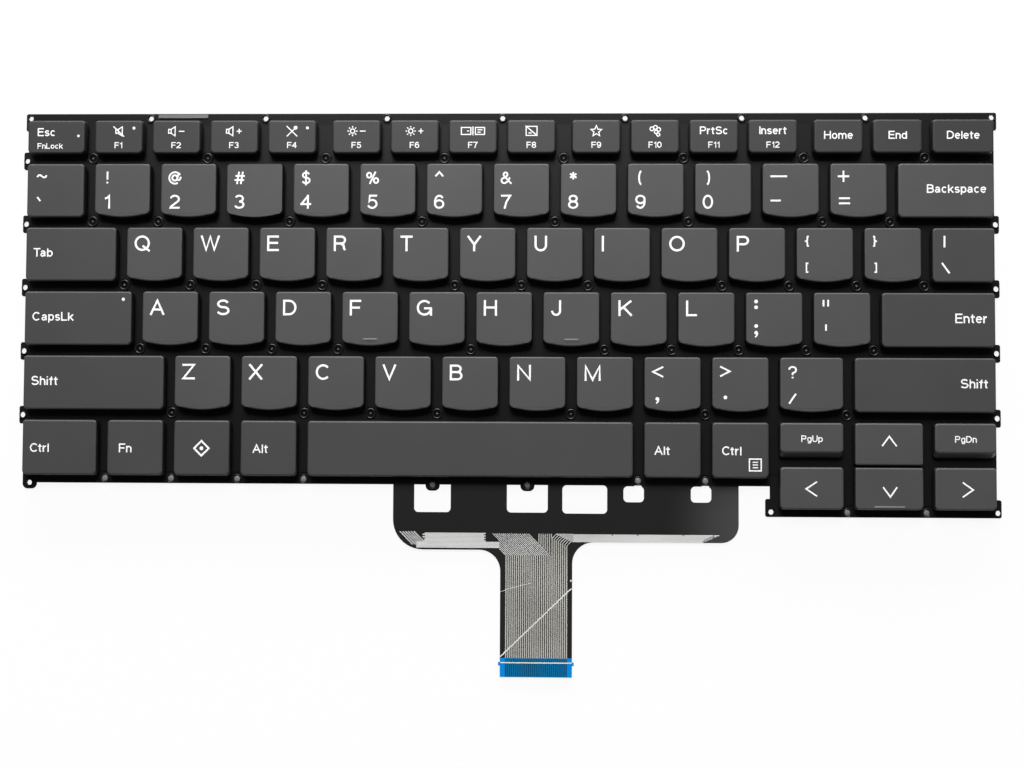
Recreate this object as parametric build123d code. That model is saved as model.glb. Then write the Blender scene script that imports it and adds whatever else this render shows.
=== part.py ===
# Low-profile laptop keyboard module: a stamped backplate with screw ears, a printed film circuit
# with its connector tail, and keys that ride on rubber domes and crossed scissor links.
#
# Millimetres. X runs to the right, Y to the back row, Z up through the key tops.
# The origin is the middle of the home row, on the underside of the backplate.

from build123d import *
import os
from dataclasses import dataclass
from math import asin, atan, atan2, copysign, cos, degrees, hypot, pi

# Key grid: distances between cap tops, and the widths that nothing else sets
KEY_PITCH = 19.05
ROW_PITCH = 18.35
COLUMN_GAP = 3.35
ROW_GAP = 3.15
BACKQUOTE_WIDTH = 16.3
BACKSLASH_WIDTH = 17.2
BOTTOM_ROW_DEPTH = 15.45

# How far each row's first letter key stands right of the 1 key
UPPER_STAGGER = 9.525
HOME_STAGGER = 14.2875
LOWER_STAGGER = 23.8125
# The right bracket stands this many pitches right of the Q key
BRACKET_COLUMN = 11

# Function row: fourteen equal caps in groups, between escape and delete
FUNCTION_DEPTH = 9.4
FUNCTION_GAP = 3.05
FUNCTION_GROUP_GAP = 4.85
ESCAPE_WIDTH = 16.3
DELETE_WIDTH = 17.0

# Arrow cluster
SLASH_WIDTH = 17.5
ARROW_WIDTH = 18.8
ARROW_DEPTH = 11.65
ARROW_GAP = 3.4
UP_DOWN_GAP = 0.8
PAGE_KEY_DEPTH = 8.15
PAGE_KEY_APRON = 1.2

# Stack heights
PLATE_THICKNESS = 0.5
FILM_THICKNESS = 0.25
STIFFENER_THICKNESS = 0.2
KEY_TRAVEL = 1.3
PRESSED_CLEARANCE = 0.2

# Keycaps: the outline is given at the foot of the edge bevel
CAP_HEIGHT = 2.15
CAP_TAPER = 0.25
CAP_BEVEL = 0.35
CAP_TOP_WALL = 0.9
CAP_SIDE_WALL = 0.8
BACK_CORNER = 0.9
FRONT_CORNER = 1.2
FRONT_BOW = 0.9
BOW_FLATS = 4
HOMING_BAR_LENGTH = 4.0
HOMING_BAR_WIDTH = 0.45
HOMING_BAR_HEIGHT = 0.12
HOMING_BAR_INSET = 1.6
DOWN_RIDGE_LENGTH = 8.5
DOWN_RIDGE_INSET = 0.5

# Scissor links, domes and stabilizer bars under the caps
LINK_WIDTH = 11.2
LINK_LENGTH = 8.5
SHORT_LINK_LENGTH = 6.2
LINK_BAR = 0.9
LINK_THICKNESS = 0.8
LINK_SIDE_GAP = 0.2
SEAT_GAP = 0.05
DOME_BASE_DIAMETER = 4.6
SHORT_DOME_BASE_DIAMETER = 3.4
DOME_TOP_DIAMETER = 2.6
DOME_SIDES = 6
BAR_DIAMETER = 0.8
BAR_SIDES = 8
BAR_SIDE_INSET = 3.5
BAR_BACK_INSET = 1.0
BAR_LEG_REACH = 5.5
BAR_TOE = 1.5

# Backplate edges, screw ears and screw holes
PLATE_SIDE_MARGIN = 1.1
PLATE_BACK_MARGIN = 2.8
PLATE_FRONT_MARGIN = 2.4
CLUSTER_SIDE_MARGIN = 2.5
EAR_LENGTH = 5.1
EAR_REACH = 1.3
EAR_CORNER = 0.6
EAR_HOLE_REACH = 0.3
CORNER_EAR_REACH = 0.8
FRONT_EAR_WIDTH = 4.0
FRONT_EAR_REACH = 1.75
FRONT_EAR_CORNER = 1.5
CORNER_HOLE_INSET = 0.55
SCREW_HOLE_DIAMETER = 1.6
PLAIN_HOLE_SIDES = 6
EDGE_HOLE_INSET = 1.4
GAP_HOLE_OFFSET = 0.75

# Screw holes in the gaps between the keys of a row, counted from the row's left end
NUMBER_ROW_HOLES = (0, 1, 3, 5, 7, 9, 11, 12)
UPPER_ROW_HOLES = (0, 1, 2, 3, 5, 6, 7, 9, 10, 11, 12)
HOME_ROW_HOLES = (0, 1, 2, 3, 5, 7, 8, 9, 10, 11)
LOWER_ROW_HOLES = (0, 2, 3, 4, 6, 8, 10)

# Film: clearance around the screws, and the flap that carries the connector tail
SCREW_CLEARANCE_DIAMETER = 3.3
FILM_EDGE_CLEARANCE = 0.3
FLAP_LEFT = -31.9
FLAP_WIDTH = 98.0
FLAP_REACH = 18.4
FLAP_STEP = 2.3
FLAP_LEFT_RADIUS = 8.5
FLAP_RIGHT_RADIUS = 5.0
TAIL_CENTRE = 8.9
TAIL_WIDTH = 20.4
TAIL_LENGTH = 35.8
TAIL_ROOT_RADIUS = 6.0
FRONT_EAR_CENTRES = (-20.7, 6.3)
EAR_WINDOW_WIDTHS = (10.4, 11.6)
EAR_WINDOW_REACH = 7.8
WIDE_WINDOW_CENTRE = 22.6
WIDE_WINDOW_WIDTH = 12.7
WIDE_WINDOW_REACH = 8.0
SMALL_WINDOW_WIDTH = 5.8
SMALL_WINDOW_DEPTH = 4.5
SMALL_WINDOW_DROP = 0.2
SMALL_WINDOW_OFFSET = 1.2
WINDOW_RADIUS = 1.2

# Stiffener glued under the end of the tail
STIFFENER_LENGTH = 5.4
STIFFENER_EAR_REACH = 0.5
STIFFENER_EAR_LENGTH = 1.0
STIFFENER_NOTCH_RADIUS = 0.55


@dataclass
class Key:
    name: str
    left: float
    right: float
    front: float
    back: float
    bowed: bool = False
    short: bool = False
    apron: float = 0.0

    @property
    def width(self):
        return self.right - self.left

    @property
    def depth(self):
        return self.back - self.front

    @property
    def centre(self):
        return Pos((self.left + self.right) / 2, (self.front + self.back) / 2)


# Worked-out heights
film_top = PLATE_THICKNESS + FILM_THICKNESS
cap_base = film_top + KEY_TRAVEL + PRESSED_CLEARANCE
cap_top = cap_base + CAP_HEIGHT
cap_ceiling = cap_top - CAP_TOP_WALL

# Worked-out plan: the block of caps is centred on X = 0
cap_width = KEY_PITCH - COLUMN_GAP
cap_depth = ROW_PITCH - ROW_GAP
span_left_of_one = cap_width / 2 + COLUMN_GAP + BACKQUOTE_WIDTH
bracket_x = UPPER_STAGGER + BRACKET_COLUMN * KEY_PITCH
span_right_of_one = bracket_x + cap_width / 2 + COLUMN_GAP + BACKSLASH_WIDTH
block_right = (span_left_of_one + span_right_of_one) / 2
block_left = -block_right
one_x = block_left + span_left_of_one


def row_back(rows_behind_home):
    return rows_behind_home * ROW_PITCH + cap_depth / 2


def letter_row(names, stagger, back):
    """Equal bowed caps, one pitch apart."""
    first = one_x + stagger
    return [
        Key(
            name,
            first + i * KEY_PITCH - cap_width / 2,
            first + i * KEY_PITCH + cap_width / 2,
            back - cap_depth,
            back,
            bowed=True,
        )
        for i, name in enumerate(names)
    ]


def with_end_keys(left_name, letters, right_name):
    """The two plain caps that fill a row out to the sides of the block."""
    first, last = letters[0], letters[-1]
    left = Key(left_name, block_left, first.left - COLUMN_GAP, first.front, first.back)
    right = Key(right_name, last.right + COLUMN_GAP, block_right, last.front, last.back)
    return [left, *letters, right]


def key_names(*names):
    return ["key_" + name for name in names]


def function_row(back):
    groups = [
        key_names("f1", "f2", "f3", "f4"),
        key_names("f5", "f6", "f7", "f8"),
        key_names("f9", "f10", "f11", "f12"),
        key_names("home", "end"),
    ]
    count = sum(len(group) for group in groups)
    group_gaps = (len(groups) - 1) * FUNCTION_GROUP_GAP
    plain_gaps = (count + 1 - (len(groups) - 1)) * FUNCTION_GAP
    width = (block_right - block_left - ESCAPE_WIDTH - DELETE_WIDTH - group_gaps - plain_gaps) / count
    front = back - FUNCTION_DEPTH
    keys = [Key("key_escape", block_left, block_left + ESCAPE_WIDTH, front, back, short=True)]
    gap = FUNCTION_GAP
    for group in groups:
        for name in group:
            left = keys[-1].right + gap
            keys.append(Key(name, left, left + width, front, back, short=True))
            gap = FUNCTION_GAP
        gap = FUNCTION_GROUP_GAP
    keys.append(Key("key_delete", block_right - DELETE_WIDTH, block_right, front, back, short=True))
    return keys


def lower_row(back):
    letters = letter_row(
        key_names("z", "x", "c", "v", "b", "n", "m", "comma", "period"), LOWER_STAGGER, back
    )
    left_shift = Key("key_left_shift", block_left, letters[0].left - COLUMN_GAP, back - cap_depth, back)
    slash_left = letters[-1].right + COLUMN_GAP
    slash = Key("key_slash", slash_left, slash_left + SLASH_WIDTH, back - cap_depth, back, bowed=True)
    right_shift = Key("key_right_shift", slash.right + ARROW_GAP, block_right, back - cap_depth, back)
    return [left_shift, *letters, slash, right_shift]


def bottom_row(lower, back):
    """Plain caps that line up with the row behind them, which starts at its Z key."""
    front = back - BOTTOM_ROW_DEPTH
    z_left = lower[1].left

    def under(name, steps):
        left = z_left + steps * KEY_PITCH
        return Key(name, left, left + cap_width, front, back)

    fn, system, left_alt = under("key_fn", -1), under("key_system", 0), under("key_left_alt", 1)
    right_alt, right_ctrl = under("key_right_alt", 7), under("key_right_ctrl", 8)
    left_ctrl = Key("key_left_ctrl", block_left, fn.left - COLUMN_GAP, front, back)
    space = Key("key_space", left_alt.right + COLUMN_GAP, right_alt.left - COLUMN_GAP, front, back)
    return [left_ctrl, fn, system, left_alt, space, right_alt, right_ctrl]


def arrow_cluster(slash, back):
    """Two short paging keys and four arrow keys, in three columns."""
    middle_left = slash.right + ARROW_GAP
    middle_right = middle_left + ARROW_WIDTH
    right_left = middle_right + ARROW_GAP
    up_front = back - ARROW_DEPTH
    low_back = up_front - UP_DOWN_GAP
    low_front = low_back - ARROW_DEPTH
    page_front = back - PAGE_KEY_DEPTH
    return [
        Key("key_page_up", slash.left, slash.right, page_front, back, short=True, apron=PAGE_KEY_APRON),
        Key("key_up", middle_left, middle_right, up_front, back),
        Key("key_page_down", right_left, block_right, page_front, back, short=True, apron=PAGE_KEY_APRON),
        Key("key_left", slash.left, slash.right, low_front, low_back),
        Key("key_down", middle_left, middle_right, low_front, low_back),
        Key("key_right", right_left, block_right, low_front, low_back),
    ]


function_keys = function_row(row_back(2) + ROW_GAP + FUNCTION_DEPTH)
number_keys = with_end_keys(
    "key_backquote",
    letter_row(
        key_names("1", "2", "3", "4", "5", "6", "7", "8", "9", "0", "minus", "equals"), 0, row_back(2)
    ),
    "key_backspace",
)
upper_keys = with_end_keys(
    "key_tab",
    letter_row(
        key_names(*"qwertyuiop", "left_bracket", "right_bracket"), UPPER_STAGGER, row_back(1)
    ),
    "key_backslash",
)
home_keys = with_end_keys(
    "key_caps_lock",
    letter_row(key_names(*"asdfghjkl", "semicolon", "quote"), HOME_STAGGER, row_back(0)),
    "key_enter",
)
lower_keys = lower_row(row_back(-1))
bottom_keys = bottom_row(lower_keys, row_back(-2))
slash_key = next(key for key in lower_keys if key.name == "key_slash")
cluster_keys = arrow_cluster(slash_key, row_back(-2))
travelling_keys = upper_keys + home_keys + lower_keys + bottom_keys + cluster_keys
all_keys = function_keys + number_keys + travelling_keys

HOMING_BARS = {
    "key_f": (HOMING_BAR_LENGTH, HOMING_BAR_INSET),
    "key_j": (HOMING_BAR_LENGTH, HOMING_BAR_INSET),
    "key_down": (DOWN_RIDGE_LENGTH, DOWN_RIDGE_INSET),
}
STABILIZED_KEYS = ("key_caps_lock", "key_enter", "key_left_shift", "key_right_shift", "key_space")


def front_bow(key):
    return FRONT_BOW if key.bowed else 0.0


def cap_section(key, grow, z, apron=0.0):
    """A cap's plan outline, offset by grow: cut corners, and a bowed front on the letter keys."""
    half = key.width / 2 + grow
    back = key.depth / 2 + grow
    front = -key.depth / 2 - grow - apron
    shoulder = front + front_bow(key)
    sides = Polyline(
        (half - FRONT_CORNER, shoulder),
        (half, shoulder + FRONT_CORNER),
        (half, back - BACK_CORNER),
        (half - BACK_CORNER, back),
        (-half + BACK_CORNER, back),
        (-half, back - BACK_CORNER),
        (-half, shoulder + FRONT_CORNER),
        (-half + FRONT_CORNER, shoulder),
    )
    if key.bowed:
        arc = ThreePointArc(sides @ 1, (0, front), sides @ 0)
        nose = Polyline(*[arc @ (i / BOW_FLATS) for i in range(BOW_FLATS + 1)])
    else:
        nose = Line(sides @ 1, sides @ 0)
    return Pos(0, 0, z) * make_face(sides + nose)


def cap_cavity(key):
    """The hollow under a cap, open at its foot."""
    width = key.width - 2 * CAP_SIDE_WALL
    depth = key.depth - 2 * CAP_SIDE_WALL - front_bow(key)
    height = cap_ceiling - cap_base
    return Pos(0, front_bow(key) / 2, cap_base + height / 2) * Box(width, depth, height)


def keycap(key):
    sections = [
        cap_section(key, CAP_TAPER, cap_base, key.apron),
        cap_section(key, 0, cap_top - CAP_BEVEL),
        cap_section(key, -CAP_BEVEL, cap_top),
    ]
    cap = loft(sections, ruled=True) - cap_cavity(key)
    if key.name in HOMING_BARS:
        length, inset = HOMING_BARS[key.name]
        bar_y = -key.depth / 2 + inset + HOMING_BAR_WIDTH / 2
        cap += Pos(0, bar_y, cap_top) * Box(length, HOMING_BAR_WIDTH, 2 * HOMING_BAR_HEIGHT)
    return key.centre * cap


def link_ring(width, length, lean):
    """One scissor link: a flat frame that leans about X, between the film and the cap's ceiling."""
    middle = Vector(0, 0, (film_top + cap_ceiling) / 2)
    ring = Box(width, length, LINK_THICKNESS)
    ring -= Box(width - 2 * LINK_BAR, length - 2 * LINK_BAR, LINK_THICKNESS)
    return Pos(middle) * Rot(X=lean) * ring


def scissor_pair(key):
    length = SHORT_LINK_LENGTH if key.short else LINK_LENGTH
    # The ring's farthest corners just clear the film below and the ceiling above.
    reach = (cap_ceiling - film_top) / 2 - SEAT_GAP
    corner = hypot(length / 2, LINK_THICKNESS / 2)
    lean = degrees(asin(reach / corner) - atan2(LINK_THICKNESS, length))
    inner_width = LINK_WIDTH - 2 * (LINK_BAR + LINK_SIDE_GAP)
    outer = key.centre * link_ring(LINK_WIDTH, length, lean)
    inner = key.centre * link_ring(inner_width, length, -lean)
    return [outer, inner]


def rubber_dome(key):
    base_diameter = SHORT_DOME_BASE_DIAMETER if key.short else DOME_BASE_DIAMETER
    foot = Pos(0, 0, film_top) * RegularPolygon(base_diameter / 2, DOME_SIDES)
    height = cap_ceiling - film_top
    draw_in = (base_diameter - DOME_TOP_DIAMETER) / 2 * cos(pi / DOME_SIDES)
    return key.centre * extrude(foot, height, taper=degrees(atan(draw_in / height)))


def stabilizer_bar(key):
    """A bent wire: its long rod lies under the cap's back edge and its toes reach the plate."""
    radius = BAR_DIAMETER / 2
    end = key.width / 2 - CAP_SIDE_WALL - BAR_SIDE_INSET
    rod_y = key.depth / 2 - CAP_SIDE_WALL - BAR_BACK_INSET
    rod_z = cap_ceiling - SEAT_GAP - radius
    toe_y = rod_y - BAR_LEG_REACH
    toe_z = film_top + SEAT_GAP + radius
    path = Polyline(
        (-end + BAR_TOE, toe_y, toe_z),
        (-end, toe_y, toe_z),
        (-end, rod_y, rod_z),
        (end, rod_y, rod_z),
        (end, toe_y, toe_z),
        (end - BAR_TOE, toe_y, toe_z),
    )
    section = Plane(path @ 0, z_dir=path % 0) * RegularPolygon(radius, BAR_SIDES)
    return key.centre * sweep(section, path=path, transition=Transition.RIGHT)


def gap_x(row, gap):
    """The middle of the gap after a row's key number gap."""
    return (row[gap].right + row[gap + 1].left) / 2


# Backplate edges
plate_right = block_right + PLATE_SIDE_MARGIN
plate_left = -plate_right
plate_back = function_keys[0].back + PLATE_BACK_MARGIN
plate_front = bottom_keys[0].front - PLATE_FRONT_MARGIN
cluster_front = cluster_keys[-1].front - PLATE_FRONT_MARGIN
cluster_left = slash_key.left - CLUSTER_SIDE_MARGIN

# Screw positions: in the key gaps, along the edges, and in the ears outside the edges
gap_holes = [
    (gap_x(row, gap), row[0].front - ROW_GAP / 2 + GAP_HOLE_OFFSET)
    for row, gaps in (
        (function_keys, range(0, len(function_keys) - 1, 2)),
        (number_keys, NUMBER_ROW_HOLES),
        (upper_keys, UPPER_ROW_HOLES),
        (home_keys, HOME_ROW_HOLES),
        (lower_keys, LOWER_ROW_HOLES),
    )
    for gap in gaps
]
back_holes = [
    (gap_x(function_keys, gap), plate_back - EDGE_HOLE_INSET)
    for gap in range(1, len(function_keys) - 1, 2)
]
front_holes = [
    (gap_x(bottom_keys, gap), plate_front + EDGE_HOLE_INSET) for gap in range(len(bottom_keys) - 1)
]
flap_holes = front_holes[-2:]
cluster_holes = [(gap_x(cluster_keys, gap), cluster_front + EDGE_HOLE_INSET) for gap in (3, 4)]
side_ear_rows = [row[0].front - ROW_GAP / 2 for row in (number_keys, upper_keys, home_keys, lower_keys)]
ear_x = plate_right + EAR_HOLE_REACH
side_ears = [(side * ear_x, y) for side in (-1, 1) for y in side_ear_rows]
escape_ear = (-ear_x, function_keys[0].front - ROW_GAP / 2)
cluster_ears = [
    (x, cluster_front + EDGE_HOLE_INSET) for x in (cluster_left + EAR_HOLE_REACH, ear_x)
]
front_ears = [(x, plate_front) for x in FRONT_EAR_CENTRES]
front_ears.append((plate_left + FRONT_EAR_WIDTH / 2, plate_front))
corner_holes = [
    (side * (plate_right - CORNER_HOLE_INSET), plate_back - EDGE_HOLE_INSET) for side in (-1, 1)
]
edge_holes = back_holes + front_holes + cluster_holes + corner_holes
ear_holes = [escape_ear] + front_ears + cluster_ears


def rectangle(left, right, front, back):
    return Pos((left + right) / 2, (front + back) / 2) * Rectangle(right - left, back - front)


def backplate():
    outline = rectangle(plate_left, plate_right, plate_front, plate_back)
    outline += rectangle(cluster_left, plate_right, cluster_front, plate_front)
    # An ear reaches as far into the plate as out of it.
    side_ear = RectangleRounded(2 * EAR_REACH, EAR_LENGTH, EAR_CORNER)
    for x, y in side_ears + [escape_ear]:
        outline += Pos(copysign(plate_right, x), y) * side_ear
    for x in (cluster_left, plate_right):
        outline += Pos(x, cluster_front + EAR_LENGTH / 2) * side_ear
    front_ear = RectangleRounded(FRONT_EAR_WIDTH, 2 * FRONT_EAR_REACH, FRONT_EAR_CORNER)
    for x, y in front_ears:
        outline += Pos(x, y) * front_ear
    corner_ear = RectangleRounded(2 * CORNER_EAR_REACH, EAR_LENGTH, EAR_CORNER)
    for x in (plate_left, plate_right):
        outline += Pos(x, plate_back - EAR_LENGTH / 2) * corner_ear
    round_hole = Circle(SCREW_HOLE_DIAMETER / 2)
    plain_hole = RegularPolygon(SCREW_HOLE_DIAMETER / 2, PLAIN_HOLE_SIDES)
    holes = [Pos(x, y) * round_hole for x, y in side_ears]
    holes += [Pos(x, y) * plain_hole for x, y in gap_holes + edge_holes + ear_holes]
    return extrude(outline - holes, PLATE_THICKNESS)


# Film edges: clear of the screws along the plate's edges
boss_inset = EDGE_HOLE_INSET + SCREW_CLEARANCE_DIAMETER / 2 + FILM_EDGE_CLEARANCE
film_right = ear_x - SCREW_CLEARANCE_DIAMETER / 2 - FILM_EDGE_CLEARANCE
film_back = plate_back - boss_inset
film_front = plate_front + boss_inset
flap_right = FLAP_LEFT + FLAP_WIDTH
flap_front = plate_front - FLAP_REACH
flap_right_front = flap_front + FLAP_STEP
tail_left = TAIL_CENTRE - TAIL_WIDTH / 2
tail_right = TAIL_CENTRE + TAIL_WIDTH / 2
tail_front = flap_front - TAIL_LENGTH


def film_flap():
    """The flap that hangs over the plate's front edge and narrows to the connector tail."""
    corners = [
        (FLAP_LEFT, film_front),
        (FLAP_LEFT, flap_front),
        (tail_left, flap_front),
        (tail_left, tail_front),
        (tail_right, tail_front),
        (tail_right, flap_right_front),
        (flap_right, flap_right_front),
        (flap_right, film_front),
    ]
    flap = make_face(Polyline(*corners, close=True))
    for corner, radius in (
        (corners[1], FLAP_LEFT_RADIUS),
        (corners[2], TAIL_ROOT_RADIUS),
        (corners[5], TAIL_ROOT_RADIUS),
        (corners[6], FLAP_RIGHT_RADIUS),
    ):
        flap = fillet(flap.vertices().sort_by_distance(Vector(*corner))[0], radius)
    return flap


def window(x, width, front, back):
    return Pos(x, (front + back) / 2) * RectangleRounded(width, back - front, WINDOW_RADIUS)


def film_windows():
    """Cut-outs in the flap, in front of the plate's edge and its two middle ears."""
    ear_back = plate_front + SCREW_CLEARANCE_DIAMETER / 2 + FILM_EDGE_CLEARANCE
    ear_front = plate_front - EAR_WINDOW_REACH
    windows = [
        window(x, width, ear_front, ear_back) for x, width in zip(FRONT_EAR_CENTRES, EAR_WINDOW_WIDTHS)
    ]
    wide_front = plate_front - WIDE_WINDOW_REACH
    windows.append(window(WIDE_WINDOW_CENTRE, WIDE_WINDOW_WIDTH, wide_front, plate_front))
    small_back = plate_front - SMALL_WINDOW_DROP
    small_front = small_back - SMALL_WINDOW_DEPTH
    for x, y in flap_holes:
        windows.append(window(x - SMALL_WINDOW_OFFSET, SMALL_WINDOW_WIDTH, small_front, small_back))
    return windows


def membrane():
    outline = rectangle(-film_right, film_right, film_front, film_back)
    outline += rectangle(cluster_left + boss_inset, film_right, cluster_front + boss_inset, film_front)
    outline += film_flap()
    clearance = RegularPolygon(SCREW_CLEARANCE_DIAMETER / 2, PLAIN_HOLE_SIDES, major_radius=False)
    cuts = [Pos(x, y) * clearance for x, y in gap_holes + flap_holes]
    sheet = extrude(outline - cuts - film_windows(), FILM_THICKNESS)
    return Pos(0, 0, PLATE_THICKNESS) * sheet


def tail_stiffener():
    middle = tail_front + STIFFENER_LENGTH / 2
    tongue = Pos(TAIL_CENTRE, middle) * Rectangle(TAIL_WIDTH, STIFFENER_LENGTH)
    ears = Pos(TAIL_CENTRE, middle + STIFFENER_EAR_LENGTH) * Rectangle(
        TAIL_WIDTH + 2 * STIFFENER_EAR_REACH, STIFFENER_EAR_LENGTH
    )
    notches = [
        Pos(x, middle + STIFFENER_EAR_LENGTH / 2 - STIFFENER_NOTCH_RADIUS) * Circle(STIFFENER_NOTCH_RADIUS)
        for x in (tail_left, tail_right)
    ]
    plate = extrude(tongue + ears - notches, STIFFENER_THICKNESS)
    return Pos(0, 0, PLATE_THICKNESS - STIFFENER_THICKNESS) * plate


def write_node(name, *solids):
    shape = solids[0] if len(solids) == 1 else Compound(list(solids))
    export_step(shape, os.path.join("parts", name + ".step"))


def main():
    os.makedirs("parts", exist_ok=True)
    write_node("backplate", backplate())
    write_node("membrane", membrane())
    write_node("tail_stiffener", tail_stiffener())
    write_node("rubber_domes", *[rubber_dome(key) for key in all_keys])
    write_node("scissor_links", *[link for key in all_keys for link in scissor_pair(key)])
    write_node(
        "stabilizer_bars", *[stabilizer_bar(key) for key in all_keys if key.name in STABILIZED_KEYS]
    )
    write_node("function_row_keycaps", *[keycap(key) for key in function_keys])
    write_node("number_row_keycaps", *[keycap(key) for key in number_keys])
    for key in travelling_keys:
        write_node(key.name, keycap(key))


main()
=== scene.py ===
import math

import bmesh
import bpy
from mathutils import Euler, Matrix, Vector


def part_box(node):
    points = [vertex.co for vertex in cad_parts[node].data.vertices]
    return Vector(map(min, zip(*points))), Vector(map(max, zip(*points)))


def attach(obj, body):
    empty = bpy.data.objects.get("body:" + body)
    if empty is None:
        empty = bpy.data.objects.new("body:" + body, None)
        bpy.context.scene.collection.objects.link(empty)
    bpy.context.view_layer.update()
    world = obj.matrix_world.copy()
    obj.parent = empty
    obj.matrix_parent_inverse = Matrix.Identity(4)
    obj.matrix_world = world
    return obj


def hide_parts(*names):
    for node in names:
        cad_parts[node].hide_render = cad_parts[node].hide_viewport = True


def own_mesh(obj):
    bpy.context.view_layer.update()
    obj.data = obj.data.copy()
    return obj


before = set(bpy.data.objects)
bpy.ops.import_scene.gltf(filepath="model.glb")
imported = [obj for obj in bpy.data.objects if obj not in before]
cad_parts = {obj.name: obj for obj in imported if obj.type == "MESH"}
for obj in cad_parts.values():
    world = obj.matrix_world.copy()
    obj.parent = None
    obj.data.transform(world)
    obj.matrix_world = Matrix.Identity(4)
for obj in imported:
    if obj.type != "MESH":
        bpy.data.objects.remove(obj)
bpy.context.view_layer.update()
mm = 0.001
tiny = 1e-6  # Lengths below this count as none
scene = bpy.context.scene
scene.view_settings.view_transform = "Standard"


# Small helpers for bmesh pieces; plan sizes are millimetres until an object is made.
def newObject(name, bm, materials, body, replaced=(), smoothAngle=35):
    bmesh.ops.scale(bm, vec=(mm, mm, mm), verts=bm.verts)
    mesh = bpy.data.meshes.new(name)
    bm.to_mesh(mesh)
    bm.free()
    for material in materials:
        mesh.materials.append(material)
    mesh.shade_smooth()
    mesh.set_sharp_from_angle(angle=math.radians(smoothAngle))
    piece = bpy.data.objects.new(name, mesh)
    scene.collection.objects.link(piece)
    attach(piece, body)
    if replaced:
        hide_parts(*replaced)
    return piece


def extruded(bm, faces):
    # Grows the faces into a block; gives its new corners and its new faces
    made = bmesh.ops.extrude_face_region(bm, geom=faces)["geom"]
    verts = [g for g in made if isinstance(g, bmesh.types.BMVert)]
    return verts, [g for g in made if isinstance(g, bmesh.types.BMFace)]


def rounded(bm, geom, affect, radius, steps):
    bmesh.ops.bevel(
        bm,
        geom=geom,
        affect=affect,
        offset=radius,
        segments=steps,
        profile=0.5,
        material=-1,
        clamp_overlap=True,
    )


def raiseFaces(bm, faces, low, high, materialIndex):
    for vert in {v for face in faces for v in face.verts}:
        vert.co.z = low
    topVerts, _ = extruded(bm, faces)
    bmesh.ops.translate(bm, verts=topVerts, vec=(0, 0, high - low))
    touched = {face for vert in topVerts for face in vert.link_faces} | {f for f in faces if f.is_valid}
    for face in touched:
        face.material_index = materialIndex
    bmesh.ops.recalc_face_normals(bm, faces=list(touched))
    return list(touched)


mitreLimit = 0.5  # Keeps a stroke's sharp turns from running out into spikes


def ribbon(bm, points, width, low, high, materialIndex=0, closed=False):
    # A flat mitred stroke along plan points
    spots = [Vector((p[0], p[1], 0)) for p in points]
    count = len(spots)
    pairs = []
    for i, spot in enumerate(spots):
        before = spots[i - 1] if i or closed else None
        after = spots[(i + 1) % count] if i < count - 1 or closed else None
        arrive = (spot - before).normalized() if before else (after - spot).normalized()
        leave = (after - spot).normalized() if after else arrive
        across = Vector((-arrive.y, arrive.x, 0))
        side = across + Vector((-leave.y, leave.x, 0))
        side = side.normalized() if side.length > tiny else across
        reach = width / 2 / max(mitreLimit, side.dot(across))
        pairs.append((bm.verts.new(spot + side * reach), bm.verts.new(spot - side * reach)))
    ends = pairs[1:] + pairs[:1] if closed else pairs[1:]
    faces = [bm.faces.new((a[0], a[1], b[1], b[0])) for a, b in zip(pairs, ends)]
    return raiseFaces(bm, faces, low, high, materialIndex)


def disc(bm, x, y, radius, low, high, materialIndex=0, sides=20):
    spot = Matrix.Translation((x, y, 0))
    made = bmesh.ops.create_circle(bm, cap_ends=True, segments=sides, radius=radius, matrix=spot)
    faces = list({face for vert in made["verts"] for face in vert.link_faces})
    return raiseFaces(bm, faces, low, high, materialIndex)


pole = 0.001  # A turned lump starts this far from its axis


def spun(bm, profile, x, y, steps, materialIndex=0):
    # A closed ring or lump turned from (radius, height) points about a vertical line
    verts = [bm.verts.new((x + radius, y, z)) for radius, z in profile]
    edges = [bm.edges.new((verts[i], verts[(i + 1) % len(verts)])) for i in range(len(verts))]
    before = set(bm.faces)
    bmesh.ops.spin(
        bm, geom=verts + edges, cent=(x, y, 0), axis=(0, 0, 1), angle=2 * math.pi, steps=steps, use_merge=True
    )
    faces = [face for face in bm.faces if face not in before]
    for face in faces:
        face.material_index = materialIndex
    bmesh.ops.recalc_face_normals(bm, faces=faces)


def tube(bm, points, radius, sides=3):
    data = bpy.data.curves.new("tube", "CURVE")
    data.dimensions = "3D"
    data.bevel_depth = radius
    data.bevel_resolution = sides
    data.use_fill_caps = True
    spline = data.splines.new("POLY")
    spline.points.add(len(points) - 1)
    for spot, point in zip(spline.points, points):
        spot.co = (*point, 1)
    holder = bpy.data.objects.new("curveHolder", data)
    scene.collection.objects.link(holder)
    graph = bpy.context.evaluated_depsgraph_get()
    mesh = bpy.data.meshes.new_from_object(holder.evaluated_get(graph))
    bpy.data.objects.remove(holder)
    bm.from_mesh(mesh)
    bpy.data.meshes.remove(mesh)


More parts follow.
